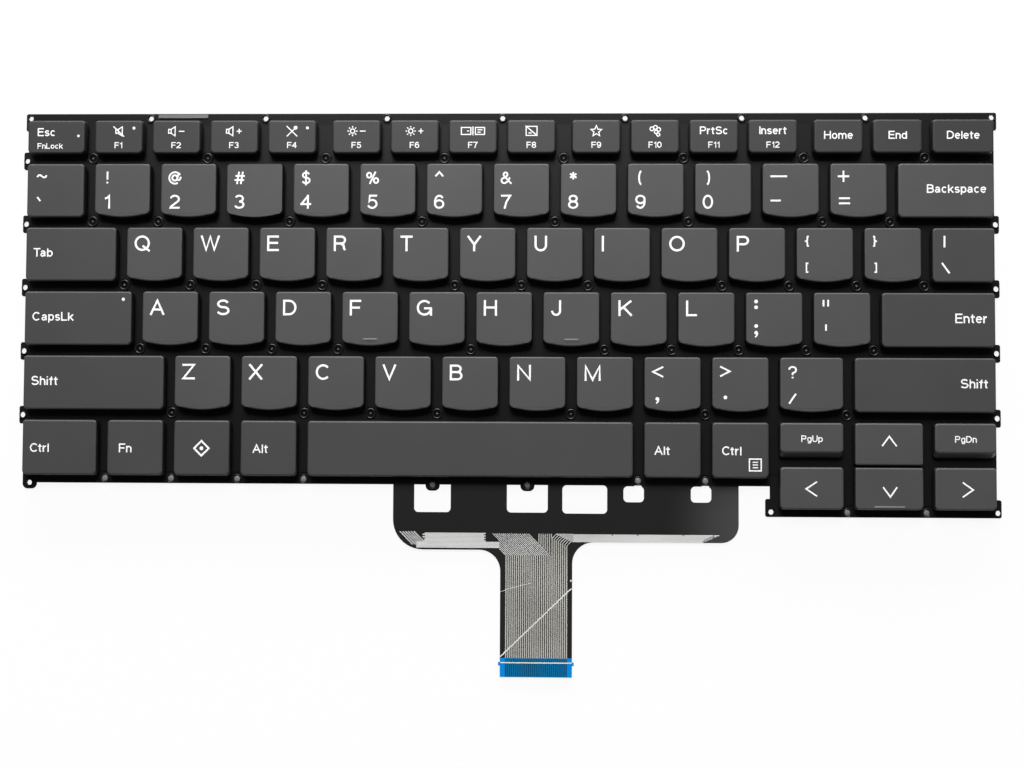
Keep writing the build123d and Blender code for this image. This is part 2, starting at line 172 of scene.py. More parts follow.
# Legends: sizes of the print, and how far below the cap's back edge each kind stands
legend = {
    "low": -0.02,
    "high": 0.015,
    "step": 0.004,
    "levels": 4,
    "weight": 0.135,
    "wordWeight": 0.148,
    "letterGap": 0.11,
    "longStroke": 0.2,
    "letterHeight": 4.46,
    "letterLeft": 2.1,
    "letterTop": 2.2,
    "digitHeight": 4.0,
    "digitDrop": 10.85,
    "symbolHeight": 3.55,
    "symbolDrop": 4.0,
    "pairX": 3.5,
    "wordHeight": 2.5,
    "wordIndent": 2.2,
    "wordDrop": 7.25,
    "shallowDrop": 7.1,
    "deepCap": 15.3,
    "frontDrop": 7.85,
    "rowWordHeight": 2.3,
    "pageWordHeight": 1.85,
    "middleDrop": 4.35,
    "labelHeight": 1.75,
    "labelDrop": 7.1,
    "functionHeight": 2.25,
    "functionDrop": 3.0,
    "stroke": 0.5,
    "arrowStroke": 0.42,
    "dot": 0.52,
    "iconStroke": 0.3,
    "iconDrop": 3.1,
}
inkPlace, barHighlightPlace, skirtShadePlace = 1, 2, 3  # A cap's materials after its plastic
arcStep = 18  # Degrees from point to point


def ink(bm, points, width, level=0, closed=False):
    # A raised stroke on a cap; strokes that cross lie at different levels
    low, high = cap["top"] + legend["low"], cap["top"] + legend["high"]
    ribbon(bm, points, width, low, high + legend["step"] * level, inkPlace, closed)


def inkDot(bm, x, y, radius):
    disc(bm, x, y, radius, cap["top"] + legend["low"], cap["top"] + legend["high"], inkPlace)


def arc(x, y, radiusX, radiusY, start, end, count=None):
    # Points along part of an ellipse, between two angles in degrees
    count = count or max(3, math.ceil(abs(end - start) / arcStep))
    turns = [math.radians(start + (end - start) * i / count) for i in range(count + 1)]
    return [(x + radiusX * math.cos(turn), y + radiusY * math.sin(turn)) for turn in turns]


def oval(x, y, radiusX, radiusY):
    points = arc(x, y, radiusX, radiusY, 0, 360)
    points[-1] = points[0]
    return points


# A plain sans lettering as centre lines: a letter's width in capital heights, and its strokes in a unit box
lowHeight = 0.74
bowl = oval(0.5, 0.5, 0.5, 0.5)
openBowl = arc(0.5, 0.5, 0.5, 0.5, 42, 318)
ascender = 1 / lowHeight
sCurve = arc(0.5, 0.755, 0.45, 0.245, 22, 255) + arc(0.5, 0.26, 0.5, 0.26, 75, -160)
rBowl = [(0, 0), (0, 1)] + arc(0.62, 0.745, 0.36, 0.255, 90, -90)
arch = [(0, 0.55)] + arc(0.5, 0.58, 0.5, 0.42, 180, 0) + [(1, 0)]
capitals = {
    "A": (0.92, [[(0, 0), (0.5, 1), (1, 0)], [(0.17, 0.33), (0.83, 0.33)]]),
    "B": (
        0.81,
        [
            [(0, 0), (0, 1)] + arc(0.58, 0.765, 0.34, 0.235, 90, -90),
            [(0.58, 0.53), (0.02, 0.53)],
            [(0.5, 0.53)] + arc(0.62, 0.265, 0.38, 0.265, 90, -90) + [(0.02, 0)],
        ],
    ),
    "C": (0.95, [openBowl]),
    "D": (0.86, [[(0, 0), (0, 1)] + arc(0.42, 0.5, 0.58, 0.5, 90, -90) + [(0, 0)]]),
    "E": (0.75, [[(1, 1), (0, 1), (0, 0), (1, 0)], [(0, 0.53), (0.92, 0.53)]]),
    "F": (0.72, [[(1, 1), (0, 1), (0, 0)], [(0, 0.5), (0.88, 0.5)]]),
    "G": (0.98, [arc(0.5, 0.5, 0.5, 0.5, 42, 345), [(1, 0), (1, 0.46), (0.55, 0.46)]]),
    "H": (0.84, [[(0, 0), (0, 1)], [(1, 0), (1, 1)], [(0, 0.53), (1, 0.53)]]),
    "I": (0.14, [[(0.5, 0), (0.5, 1)]]),
    "J": (0.64, [[(1, 1)] + arc(0.5, 0.3, 0.5, 0.3, 0, -180)]),
    "K": (0.86, [[(0, 0), (0, 1)], [(0.95, 1), (0, 0.36)], [(0.34, 0.58), (1, 0)]]),
    "L": (0.68, [[(0, 1), (0, 0), (1, 0)]]),
    "M": (1.02, [[(0, 0), (0, 1), (0.5, 0), (1, 1), (1, 0)]]),
    "N": (0.88, [[(0, 0), (0, 1), (1, 0), (1, 1)]]),
    "O": (0.99, [bowl]),
    "P": (0.78, [[(0, 0), (0, 1)] + arc(0.6, 0.73, 0.4, 0.27, 90, -90), [(0.6, 0.46), (0.02, 0.46)]]),
    "Q": (0.99, [bowl, [(0.6, 0.26), (1, -0.04)]]),
    "R": (0.8, [rBowl, [(0.62, 0.49), (0.02, 0.49)], [(0.55, 0.49), (0.84, 0.36), (0.9, 0.1), (1, 0)]]),
    "S": (0.84, [sCurve]),
    "T": (0.77, [[(0, 1), (1, 1)], [(0.5, 1), (0.5, 0)]]),
    "U": (0.8, [[(0, 1)] + arc(0.5, 0.37, 0.5, 0.37, 180, 360) + [(1, 1)]]),
    "V": (0.85, [[(0, 1), (0.5, 0), (1, 1)]]),
    "W": (1.22, [[(0, 1), (0.26, 0), (0.5, 1), (0.74, 0), (1, 1)]]),
    "X": (0.86, [[(0, 1), (1, 0)], [(1, 1), (0, 0)]]),
    "Y": (0.87, [[(0, 1), (0.5, 0.42), (1, 1)], [(0.5, 0.42), (0.5, 0)]]),
    "Z": (0.81, [[(0, 1), (1, 1), (0, 0), (1, 0)]]),
    "0": (0.74, [bowl]),
    "1": (0.44, [[(0, 0.76), (0.6, 0.83), (1, 1), (1, 0)]]),
    "2": (0.73, [arc(0.5, 0.71, 0.5, 0.29, 165, -35) + [(0.06, 0.1), (0, 0), (1, 0)]]),
    "3": (0.73, [arc(0.48, 0.76, 0.44, 0.24, 158, -90), arc(0.48, 0.26, 0.52, 0.26, 90, -160)]),
    "4": (0.76, [[(0.74, 0), (0.74, 1)], [(0.7, 0.95), (0, 0.3)], [(0, 0.3), (1, 0.3)]]),
    "5": (0.73, [[(0.94, 1), (0.2, 1), (0.08, 0.5)] + arc(0.48, 0.32, 0.52, 0.33, 128, -158)]),
    "6": (0.73, [oval(0.5, 0.31, 0.5, 0.31), arc(0.52, 0.5, 0.52, 0.5, 190, 40)]),
    "7": (0.72, [[(0, 1), (1, 1), (0.55, 0.5), (0.34, 0)]]),
    "8": (0.73, [oval(0.5, 0.76, 0.43, 0.24), oval(0.5, 0.26, 0.5, 0.26)]),
    "9": (0.73, [oval(0.5, 0.69, 0.5, 0.31), arc(0.48, 0.5, 0.52, 0.5, 10, -140)]),
    "!": (0.16, [[(0.5, 1), (0.5, 0.4)], [(0.5, 0.13), (0.5, -0.03)]]),
    "@": (
        1.08,
        [
            arc(0.5, 0.46, 0.5, 0.54, -62, -330),
            oval(0.48, 0.46, 0.22, 0.25),
            [(0.76, 0.72), (0.68, 0.3), (0.8, 0.22)],
            [(0.8, 0.22), (0.94, 0.34), (1, 0.56)],
        ],
    ),
    "#": (
        0.82,
        [[(0.4, 1), (0.2, 0)], [(0.85, 1), (0.65, 0)], [(0.1, 0.68), (1, 0.68)], [(0, 0.3), (0.92, 0.3)]],
    ),
    "$": (0.72, [sCurve, [(0.5, 1.12), (0.5, -0.12)]]),
    "%": (1.06, [oval(0.2, 0.75, 0.19, 0.23), oval(0.8, 0.25, 0.19, 0.23), [(0.72, 1), (0.28, 0)]]),
    "&": (
        0.88,
        [
            [(1, 0), (0.25, 0.7)] + arc(0.43, 0.8, 0.21, 0.2, 195, -35),
            [(0.6, 0.69), (0.3, 0.5)] + arc(0.3, 0.25, 0.3, 0.25, 110, 290) + [(0.68, 0.18), (0.86, 0.46)],
        ],
    ),
    "*": (0.6, [[(0.5, 0.48), (0.5, 1)], [(0.08, 0.6), (0.92, 0.88)], [(0.92, 0.6), (0.08, 0.88)]]),
    "^": (0.66, [[(0, 0.66), (0.5, 1), (1, 0.66)]]),
    "(": (0.36, [arc(1, 0.46, 1, 0.66, 105, 255)]),
    ")": (0.36, [arc(0, 0.46, 1, 0.66, 75, -75)]),
    "~": (0.9, [[(0, 0.42), (0.14, 0.6), (0.32, 0.6), (0.66, 0.4), (0.86, 0.4), (1, 0.58)]]),
    "`": (0.3, [[(0, 1), (1, 0.75)]]),
    "?": (0.68, [arc(0.5, 0.74, 0.48, 0.26, 175, -48) + [(0.5, 0.44), (0.5, 0.28)], [(0.5, 0.13), (0.5, 0)]]),
    "[": (0.32, [[(1, 1), (0, 1), (0, 0), (1, 0)]]),
    "]": (0.32, [[(0, 1), (1, 1), (1, 0), (0, 0)]]),
    "{": (0.38, [[(1, 1), (0.55, 0.95), (0.5, 0.6), (0, 0.5), (0.5, 0.4), (0.55, 0.05), (1, 0)]]),
    "}": (0.38, [[(0, 1), (0.45, 0.95), (0.5, 0.6), (1, 0.5), (0.5, 0.4), (0.45, 0.05), (0, 0)]]),
}
smalls = {
    "a": (
        0.66,
        [
            arc(0.46, 0.68, 0.4, 0.32, 165, 0) + [(0.86, 0.12), (1, 0)],
            [(0.86, 0.56), (0.4, 0.52)] + arc(0.36, 0.27, 0.36, 0.27, 90, 290) + [(0.86, 0.32)],
        ],
    ),
    "b": (0.66, [bowl, [(0, 0), (0, ascender)]]),
    "c": (0.63, [openBowl]),
    "d": (0.66, [bowl, [(1, 0), (1, ascender)]]),
    "e": (
        0.66,
        [[(0.1, 0.54), (0.9, 0.54)], arc(0.5, 0.54, 0.5, 0.46, 0, 180) + arc(0.5, 0.5, 0.5, 0.5, 190, 318)],
    ),
    "f": (0.42, [arc(1.0, 1.08, 0.5, 0.27, 90, 180) + [(0.5, 0)], [(0, 0.96), (1, 0.96)]]),
    "g": (0.66, [bowl, [(1, 1)] + arc(0.5, -0.08, 0.5, 0.3, 0, -155)]),
    "h": (0.62, [[(0, 0), (0, ascender)], arch]),
    "i": (0.17, [[(0.5, 0), (0.5, 0.88)], [(0.5, 1.28), (0.5, 1.5)]]),
    "k": (0.64, [[(0, 0), (0, ascender)], [(0.92, 1), (0, 0.3)], [(0.36, 0.58), (1, 0)]]),
    "l": (0.17, [[(0.5, 0), (0.5, ascender)]]),
    "m": (
        1.02,
        [
            [(0, 0), (0, 1)],
            [(0, 0.55)] + arc(0.25, 0.62, 0.25, 0.38, 180, 0) + [(0.5, 0)],
            [(0.5, 0.55)] + arc(0.75, 0.62, 0.25, 0.38, 180, 0) + [(1, 0)],
        ],
    ),
    "n": (0.62, [[(0, 0), (0, 1)], arch]),
    "o": (0.68, [bowl]),
    "p": (0.66, [bowl, [(0, -0.36), (0, 1)]]),
    "r": (0.43, [[(0, 0), (0, 1)], [(0, 0.5)] + arc(1.0, 0.5, 1.0, 0.48, 180, 85)]),
    "s": (0.6, [sCurve]),
    "t": (0.42, [[(0.42, 1.26), (0.42, 0.2), (0.55, 0.03), (1, 0)], [(0, 0.96), (1, 0.96)]]),
}
# Pairs of letters that stand closer than the rest
kerns = {"Ct": -0.12, "Ta": -0.1, "In": -0.02}


def squareEnds(points, reach, shortest):
    # A straight stroke runs on by half its weight at a free end; a curved one stops where it is
    points = [Vector(p) for p in points]
    first, last = points[0] - points[1], points[-1] - points[-2]
    if first.length > shortest:
        points[0] = points[0] + first.normalized() * reach
    if last.length > shortest:
        points[-1] = points[-1] + last.normalized() * reach
    return points


def writeText(bm, text, capHeight, x, y, align="centre", middle="caps", weight=None):
    # Words from plain strokes; their left, middle or right stands at x, and their capitals or outline at y
    weight = weight or legend["weight"]
    lines = []
    pen = 0.0
    for i, character in enumerate(text):
        pen += kerns.get(text[max(0, i - 1):i + 1], 0)
        height = lowHeight if character in smalls else 1
        width, parts = smalls.get(character) or capitals[character]
        wide, tall = width - weight, height - weight
        for part in parts:
            lines.append([(pen + weight / 2 + px * wide, weight / 2 + py * tall) for px, py in part])
        pen += width + legend["letterGap"]
    total = pen - legend["letterGap"]
    anchor = {"left": 0, "centre": total / 2, "right": total}[align]
    heights = [py for points in lines for _, py in points]
    level = 0.5 if middle == "caps" else (min(heights) + max(heights)) / 2
    for i, points in enumerate(lines):
        closed = points[0] == points[-1]
        placed = [(x + (px - anchor) * capHeight, y + (py - level) * capHeight) for px, py in points]
        if closed:
            placed.pop()
        else:
            placed = squareEnds(placed, weight * capHeight / 2, legend["longStroke"] * capHeight)
        ink(bm, placed, weight * capHeight, i % legend["levels"], closed)


# Shader building blocks
def nodeGroup(name, inputs, outputs):
    group = bpy.data.node_groups.new(name, "ShaderNodeTree")
    for label, kind, value in inputs:
        socket = group.interface.new_socket(label, in_out="INPUT", socket_type=kind)
        socket.default_value = value
    for label, kind in outputs:
        group.interface.new_socket(label, in_out="OUTPUT", socket_type=kind)
    return group, group.nodes.new("NodeGroupInput"), group.nodes.new("NodeGroupOutput")


def setInputs(node, values):
    for label, value in values.items():
        node.inputs[label].default_value = value


def mathNode(tree, operation, *values):
    # One sum on numbers or on what other nodes put out
    node = tree.nodes.new("ShaderNodeMath")
    node.operation = operation
    for socket, value in zip(node.inputs, values):
        if isinstance(value, bpy.types.NodeSocket):
            tree.links.new(value, socket)
        else:
            socket.default_value = value
    return node.outputs["Value"]


grainSettings = {"detail": 3, "height": 0.00004, "cloudScale": 60, "cloudDetail": 5, "cloudRange": (0.3, 0.7)}


def grainGroup():
    # Fine moulded grain: a normal and a slight light and dark mottling
    number = "NodeSocketFloat"
    group, source, sink = nodeGroup(
        "fineGrain",
        [("Scale", number, 9000.0), ("Strength", number, 0.1), ("Mottle", number, 0.1)],
        [("Normal", "NodeSocketVector"), ("Shade", number)],
    )
    nodes, links = group.nodes, group.links
    coords = nodes.new("ShaderNodeTexCoord")
    noise = nodes.new("ShaderNodeTexNoise")
    setInputs(noise, {"Detail": grainSettings["detail"]})
    links.new(coords.outputs["Object"], noise.inputs["Vector"])
    links.new(source.outputs["Scale"], noise.inputs["Scale"])
    bump = nodes.new("ShaderNodeBump")
    setInputs(bump, {"Distance": grainSettings["height"]})
    links.new(source.outputs["Strength"], bump.inputs["Strength"])
    links.new(noise.outputs["Fac"], bump.inputs["Height"])
    links.new(bump.outputs["Normal"], sink.inputs["Normal"])
    cloud = nodes.new("ShaderNodeTexNoise")
    setInputs(cloud, {"Scale": grainSettings["cloudScale"], "Detail": grainSettings["cloudDetail"]})
    links.new(coords.outputs["Object"], cloud.inputs["Vector"])
    shade = nodes.new("ShaderNodeMapRange")
    darkest, palest = grainSettings["cloudRange"]
    setInputs(shade, {"From Min": darkest, "From Max": palest})
    links.new(cloud.outputs["Fac"], shade.inputs["Value"])
    links.new(mathNode(group, "SUBTRACT", 1, source.outputs["Mottle"]), shade.inputs["To Min"])
    links.new(mathNode(group, "ADD", 1, source.outputs["Mottle"]), shade.inputs["To Max"])
    links.new(shade.outputs["Result"], sink.inputs["Shade"])
    return group


fineGrain = grainGroup()


def grey(tone):
    return tone, tone, tone


mixFirst, mixSecond, mixResult = 6, 7, 2  # A colour mix's sockets go by number, as their names repeat


def newMaterial(
    name, colour, roughness, grainScale=9000, grainStrength=0.1, mottle=0.08, metallic=0.0, gloss=0.5
):
    material = bpy.data.materials.new(name)
    material.use_nodes = True
    nodes, links = material.node_tree.nodes, material.node_tree.links
    shader = nodes["Principled BSDF"]
    setInputs(shader, {"Roughness": roughness, "Metallic": metallic, "Specular IOR Level": gloss})
    grain = nodes.new("ShaderNodeGroup")
    grain.node_tree = fineGrain
    setInputs(grain, {"Scale": grainScale, "Strength": grainStrength, "Mottle": mottle})
    tint = nodes.new("ShaderNodeMix")
    tint.data_type = "RGBA"
    tint.blend_type = "MULTIPLY"
    tint.inputs["Factor"].default_value = 1
    tint.inputs[mixFirst].default_value = (*colour, 1)
    links.new(grain.outputs["Shade"], tint.inputs[mixSecond])
    links.new(tint.outputs[mixResult], shader.inputs["Base Color"])
    links.new(grain.outputs["Normal"], shader.inputs["Normal"])
    return material


capPlastic = newMaterial("capPlastic", grey(0.055), 0.45, grainStrength=0.25, mottle=0.05)
# Function row caps: the same plastic painted darker, as painted shade
rowPlasticPaintedShade = newMaterial("rowPlasticPaintedShade", grey(0.026), 0.45, grainStrength=0.25, mottle=0.05)
# Caps at the left, right and front edges: the same plastic painted darker, as painted shade
widePlasticPaintedShade = newMaterial("widePlasticPaintedShade", grey(0.044), 0.45, grainStrength=0.25, mottle=0.05)
# The caps' side walls are the same plastic painted near black: painted shade on walls that face away from the
# light
skirtPaintedShade = newMaterial("skirtPaintedShade", grey(0.012), 0.5, grainStrength=0.25, mottle=0.05, gloss=0.3)
# The homing bars are cap plastic whose pale grey is a painted highlight
barPaintedHighlight = newMaterial("barPaintedHighlight", grey(0.17), 0.4, mottle=0.02)
legendInk = newMaterial("legendInk", grey(0.86), 0.5, mottle=0.02)
platePaint = newMaterial("platePaint", grey(0.007), 0.42, 5000, 0.2, gloss=0.16)
bossPaint = newMaterial("bossPaint", grey(0.01), 0.28, 5000, 0.05, gloss=0.55)
# Near-black floor that closes the boss holes: painted shade where the holes look dark
pitPaintedShade = newMaterial("pitPaintedShade", grey(0.001), 0.6, gloss=0.1)
# Pale grey heads in the closed edge bosses: a painted glint
rivetPaintedGlint = newMaterial("rivetPaintedGlint", grey(0.2), 0.35, 5000, 0.1)
# Small grey heads in the inner bosses: a painted glint
paintedGlintGrey = newMaterial("paintedGlintGrey", grey(0.16), 0.3, 5000, 0.1)
# Paler than the plate paint: a painted sheen on the back lip
lipPaintedSheen = newMaterial("lipPaintedSheen", grey(0.03), 0.35, 5000, 0.1)
linkPlastic = newMaterial("linkPlastic", grey(0.02), 0.5)
domeRubber = newMaterial("domeRubber", grey(0.12), 0.7)
wireSteel = newMaterial("wireSteel", grey(0.55), 0.3, metallic=1.0)
traceSilver = newMaterial("traceSilver", (0.44, 0.43, 0.4), 0.45, mottle=0.15)
bandSilver = newMaterial("bandSilver", (0.72, 0.72, 0.71), 0.45, mottle=0.1)
creaseWhite = newMaterial("creaseWhite", (0.7, 0.7, 0.68), 0.5)
contactDark = newMaterial("contactDark", (0.0, 0.03, 0.075), 0.4)
creamLine = newMaterial("creamLine", (0.75, 0.72, 0.6), 0.5)
print("materials made")

# Keycaps
cap = {
    "taper": 0.25,
    "bevel": 0.33,
    "bevelSteps": 3,
    "backCorner": 0.9,
    "frontCorner": 1.25,
    "tightCorner": 0.55,
    "cornerSteps": 4,
    "skirtShadeSlope": 0.3,
    "bow": 0.9,
    "bowSteps": 12,
    "apron": 1.2,
    "top": 4.4,
    "sideWall": 0.8,
    "cavity": 1.25,
    "rim": 0.12,
}


def buildCap(bm, low, high, bowed, apron, backCorner, frontCorner):
    # A cap standing in the box from low to high, both measured at its foot
    left, right, front, back = low.x, high.x, low.y, high.y
    centreX, middleY = (left + right) / 2, (front + back) / 2
    halfX, halfY = (right - left) / 2, (back - front) / 2
    bowDepth = cap["bow"] if bowed else 0
    shoulder = front + bowDepth
    outline = [(right, back), (left, back), (left, shoulder)]
    if bowed:
        half = halfX - frontCorner
        for i in range(cap["bowSteps"] + 1):
            offset = half * (2 * i / cap["bowSteps"] - 1)
            outline.append((centreX + offset, shoulder - bowDepth * (1 - (offset / half) ** 2)))
    outline.append((right, shoulder))
    base = bm.faces.new([bm.verts.new((x, y, low.z)) for x, y in outline])
    corners = [base.verts[i] for i in (0, 1, 2, -1)]
    for side, radius in ((-1, frontCorner), (1, backCorner)):
        ends = [v for v in corners if v.is_valid and (v.co.y - middleY) * side > 0]
        rounded(bm, ends, "VERTICES", radius, cap["cornerSteps"])
    base = max(bm.faces, key=lambda f: len(f.verts))
    topVerts, topFaces = extruded(bm, [base])
    for vert in topVerts:
        vert.co.z = cap["top"]
        vert.co.x = centreX + (vert.co.x - centreX) * (1 - cap["taper"] / halfX)
        pull = cap["taper"] + (apron if vert.co.y < middleY else 0)
        vert.co.y = middleY + (vert.co.y - middleY) * (1 - pull / halfY)
    bmesh.ops.recalc_face_normals(bm, faces=bm.faces)
    rounded(bm, list(topFaces[0].edges), "EDGES", cap["bevel"], cap["bevelSteps"])
    topFace = max(bm.faces, key=lambda f: f.calc_center_median().z)
    bmesh.ops.inset_region(bm, faces=[topFace], thickness=cap["rim"], use_even_offset=True)
    foot = min(bm.faces, key=lambda f: f.calc_center_median().z)
    bmesh.ops.inset_region(bm, faces=[foot], thickness=cap["sideWall"], use_even_offset=True)
    hollow, _ = extruded(bm, [foot])
    bmesh.ops.translate(bm, verts=hollow, vec=(0, 0, cap["cavity"]))
    if foot.is_valid:
        bmesh.ops.delete(bm, geom=[foot], context="FACES_ONLY")
    bmesh.ops.recalc_face_normals(bm, faces=bm.faces)
    # Steep wall faces take the near-black wall material: painted shade
    for face in bm.faces:
        if face.normal.z < cap["skirtShadeSlope"]:
            face.material_index = skirtShadePlace


# What is printed on each key's cap: distances are from the cap's left and back edges.
words = {
    "tab": "Tab",
    "caps_lock": "CapsLk",
    "left_shift": "Shift",
    "left_ctrl": "Ctrl",
    "fn": "Fn",
    "left_alt": "Alt",
    "right_alt": "Alt",
    "right_ctrl": "Ctrl",
    "enter": "Enter",
    "right_shift": "Shift",
    "backspace": "Backspace",
    "home": "Home",
    "end": "End",
    "delete": "Delete",
    "page_up": "PgUp",
    "page_down": "PgDn",
}
# Keys along the left, right and front edges, whose caps are painted darker as painted shade
edgeShadeKeys = ("backquote", "tab", "backslash", "caps_lock", "enter", "left_shift", "right_shift", "left_ctrl")
edgeShadeKeys += ("fn", "system", "left_alt", "space", "right_alt", "right_ctrl")
bowedKeys = ("minus", "equals", "left_bracket", "right_bracket", "semicolon", "quote")
bowedKeys += ("comma", "period", "slash")
pageKeys = ("page_up", "page_down")
arrowKeys = ("up", "left", "down", "right")
rightWords = ("enter", "right_shift", "backspace")
middleWords = ("home", "end", "delete") + pageKeys
wordHeights = {"Enter": 2.7, "Shift": 2.62, "Backspace": 2.43}
# The front row's words, which stand lower than the others
wordIndents = {
    "left_ctrl": 2.2,
    "fn": 3.3,
    "left_alt": 3.4,
    "right_alt": 2.75,
    "right_ctrl": 2.65,
}
digitPairs = dict(zip("1234567890", "!@#$%^&*()"))
symbolShifts = {"@": 0.45}
symbolDrops = {"^": 2.85, "*": 3.4}
strokes = {
    "minus": [[(2.1, 3.6), (6.8, 3.6)], [(2.1, 10.5), (5.0, 10.5)]],
    "equals": [
        [(2.0, 3.6), (5.2, 3.6)],
        [(3.6, 2.0), (3.6, 5.2)],
        [(2.3, 9.85), (5.4, 9.85)],
        [(2.3, 11.3), (5.4, 11.3)],
    ],
    "backslash": [[(3.2, 2.15), (3.2, 5.4)], [(2.45, 9.8), (4.55, 12.75)]],
    "quote": [[(2.6, 1.95), (2.6, 3.8)], [(3.9, 1.95), (3.9, 3.8)], [(3.27, 8.9), (3.27, 10.7)]],
    "comma": [[(5.2, 2.65), (2.3, 4.05), (5.2, 5.5)]],
    "period": [[(2.15, 2.5), (4.85, 3.86), (2.15, 5.26)]],
    "slash": [[(4.3, 10.1), (2.4, 12.9)]],
    "up": [[(7.4, 6.35), (9.4, 3.6), (11.4, 6.35)]],
    "left": [[(10.1, 3.95), (7.05, 5.95), (10.1, 8.0)]],
    "down": [[(7.6, 5.35), (9.6, 8.1), (11.5, 5.35)]],
    "right": [[(7.5, 3.95), (10.4, 6.0), (7.5, 8.05)]],
}
tails = {"semicolon": (2.75, 11.3), "comma": (3.55, 11.7)}
tail = {"points": [(0.34, -0.1), (0.2, -0.75), (-0.3, -1.25)], "width": 0.4}
dots = {
    "semicolon": [(2.75, 2.45), (2.75, 4.1), (2.75, 9.4), (2.75, 11.3)],
    "comma": [(3.55, 11.7)],
    "period": [(3.6, 11.2)],
}
glyphs = {
    "left_bracket": [("{", 3.3, 2.9, 3.7), ("[", 2.9, 2.9, 11.2)],
    "right_bracket": [("}", 3.3, 2.7, 3.7), ("]", 2.9, 2.9, 11.2)],
    "slash": [("?", 3.7, 3.4, 4.15)],
    "backquote": [("~", legend["symbolHeight"], 4.2, 3.5), ("`", legend["symbolHeight"], 3.4, 10.1)],
}
# Indicator dots: place and radius, and a negative place is from the right edge
dotSpots = {
    "escape": (14.55, 4.4, 0.36),
    "f1": (11.2, 2.17, 0.42),
    "f4": (11.2, 2.17, 0.42),
    "caps_lock": (-2.3, 2.17, 0.45),
}
escapeWords = [("Esc", 2.33, 2.75, 3.3), ("FnLock", 1.62, 2.75, 7.3)]
diamond = {"reach": 2.1, "width": 0.5, "dot": 0.55}
menu = {"right": 3.75, "drop": 11.8, "half": 1.65, "width": 0.36, "line": 0.75, "lineWidth": 0.3}


def circlePoints(x, y, radius, count, start=0):
    return arc(x, y, radius, radius, start, start + 360, count)[:-1]


def rectangle(left, front, right, back):
    return [(left, front), (right, front), (right, back), (left, back)]


def starPoints(x, y, outer, inner):
    tips, dents = circlePoints(x, y, outer, 5, 90), circlePoints(x, y, inner, 5, 126)
    return [point for pair in zip(tips, dents) for point in pair]


# Icons: lists of (points, closed) strokes about their own centre, in millimetres
speaker = [
    ([(-1.1, -0.55), (-0.45, -0.55), (0.75, -1.3), (0.75, 1.3), (-0.45, 0.55), (-1.1, 0.55)], True),
    ([(-0.4, -0.55), (-0.4, 0.55)], False),
]
rays = zip(circlePoints(0, 0, 1.0, 8), circlePoints(0, 0, 1.45, 8))
sun = [(circlePoints(0, 0, 0.62, 16), True)] + [(ends, False) for ends in rays]


def moved(icon, dx):
    return [([(x + dx, y) for x, y in points], closed) for points, closed in icon]


minusSign = [([(-0.8, 0), (0.8, 0)], False)]
plusSign = [([(-0.7, 0), (0.7, 0)], False), ([(0, -0.7), (0, 0.7)], False)]
bubbles = [(-0.9, 0.55, 0.55), (0.1, 0.95, 0.55), (1.0, 0.35, 0.55), (0.3, -0.35, 0.5), (0.9, -1.1, 0.45)]
icons = {
    "f1": moved(speaker, 0.3) + [([(-1.5, 1.4), (1.6, -1.5)], False)],
    "f2": moved(speaker, -1.1) + moved(minusSign, 1.55),
    "f3": moved(speaker, -1.1) + moved(plusSign, 1.45),
    "f4": [
        ([(-1.6, 1.5), (1.5, -1.5)], False),
        ([(-1.5, -1.5), (0.9, 0.9)], False),
    ],
    "f5": moved(sun, -1.1) + moved(minusSign, 1.8),
    "f6": moved(sun, -1.1) + moved(plusSign, 1.8),
    "f7": [
        (rectangle(-3.3, -1.0, -0.6, 1.0), True),
        ([(-1.7, 0), (-1.1, 0)], False),
        ([(0.0, -1.3), (0.0, 1.3)], False),
        (rectangle(0.7, -1.0, 3.3, 1.0), True),
        ([(1.3, 0.35), (2.7, 0.35)], False),
        ([(1.3, -0.35), (2.2, -0.35)], False),
    ],
    "f8": [
        (rectangle(-1.5, -1.3, 1.6, 1.3), True),
        ([(-1.7, 1.5), (1.7, -1.4)], False),
        ([(-0.8, -0.6), (0.1, -0.6)], False),
    ],
    "f9": [(starPoints(0, -0.1, 1.65, 0.72), True)],
    "f10": [(circlePoints(x, y, radius, 10), True) for x, y, radius in bubbles],
}
iconDots = {"f4": (1.0, 1.0, 0.55)}
functionLabels = {f"f{i}": f"F{i}" for i in range(1, 13)}
functionWords = {"f11": "PrtSc", "f12": "Insert"}


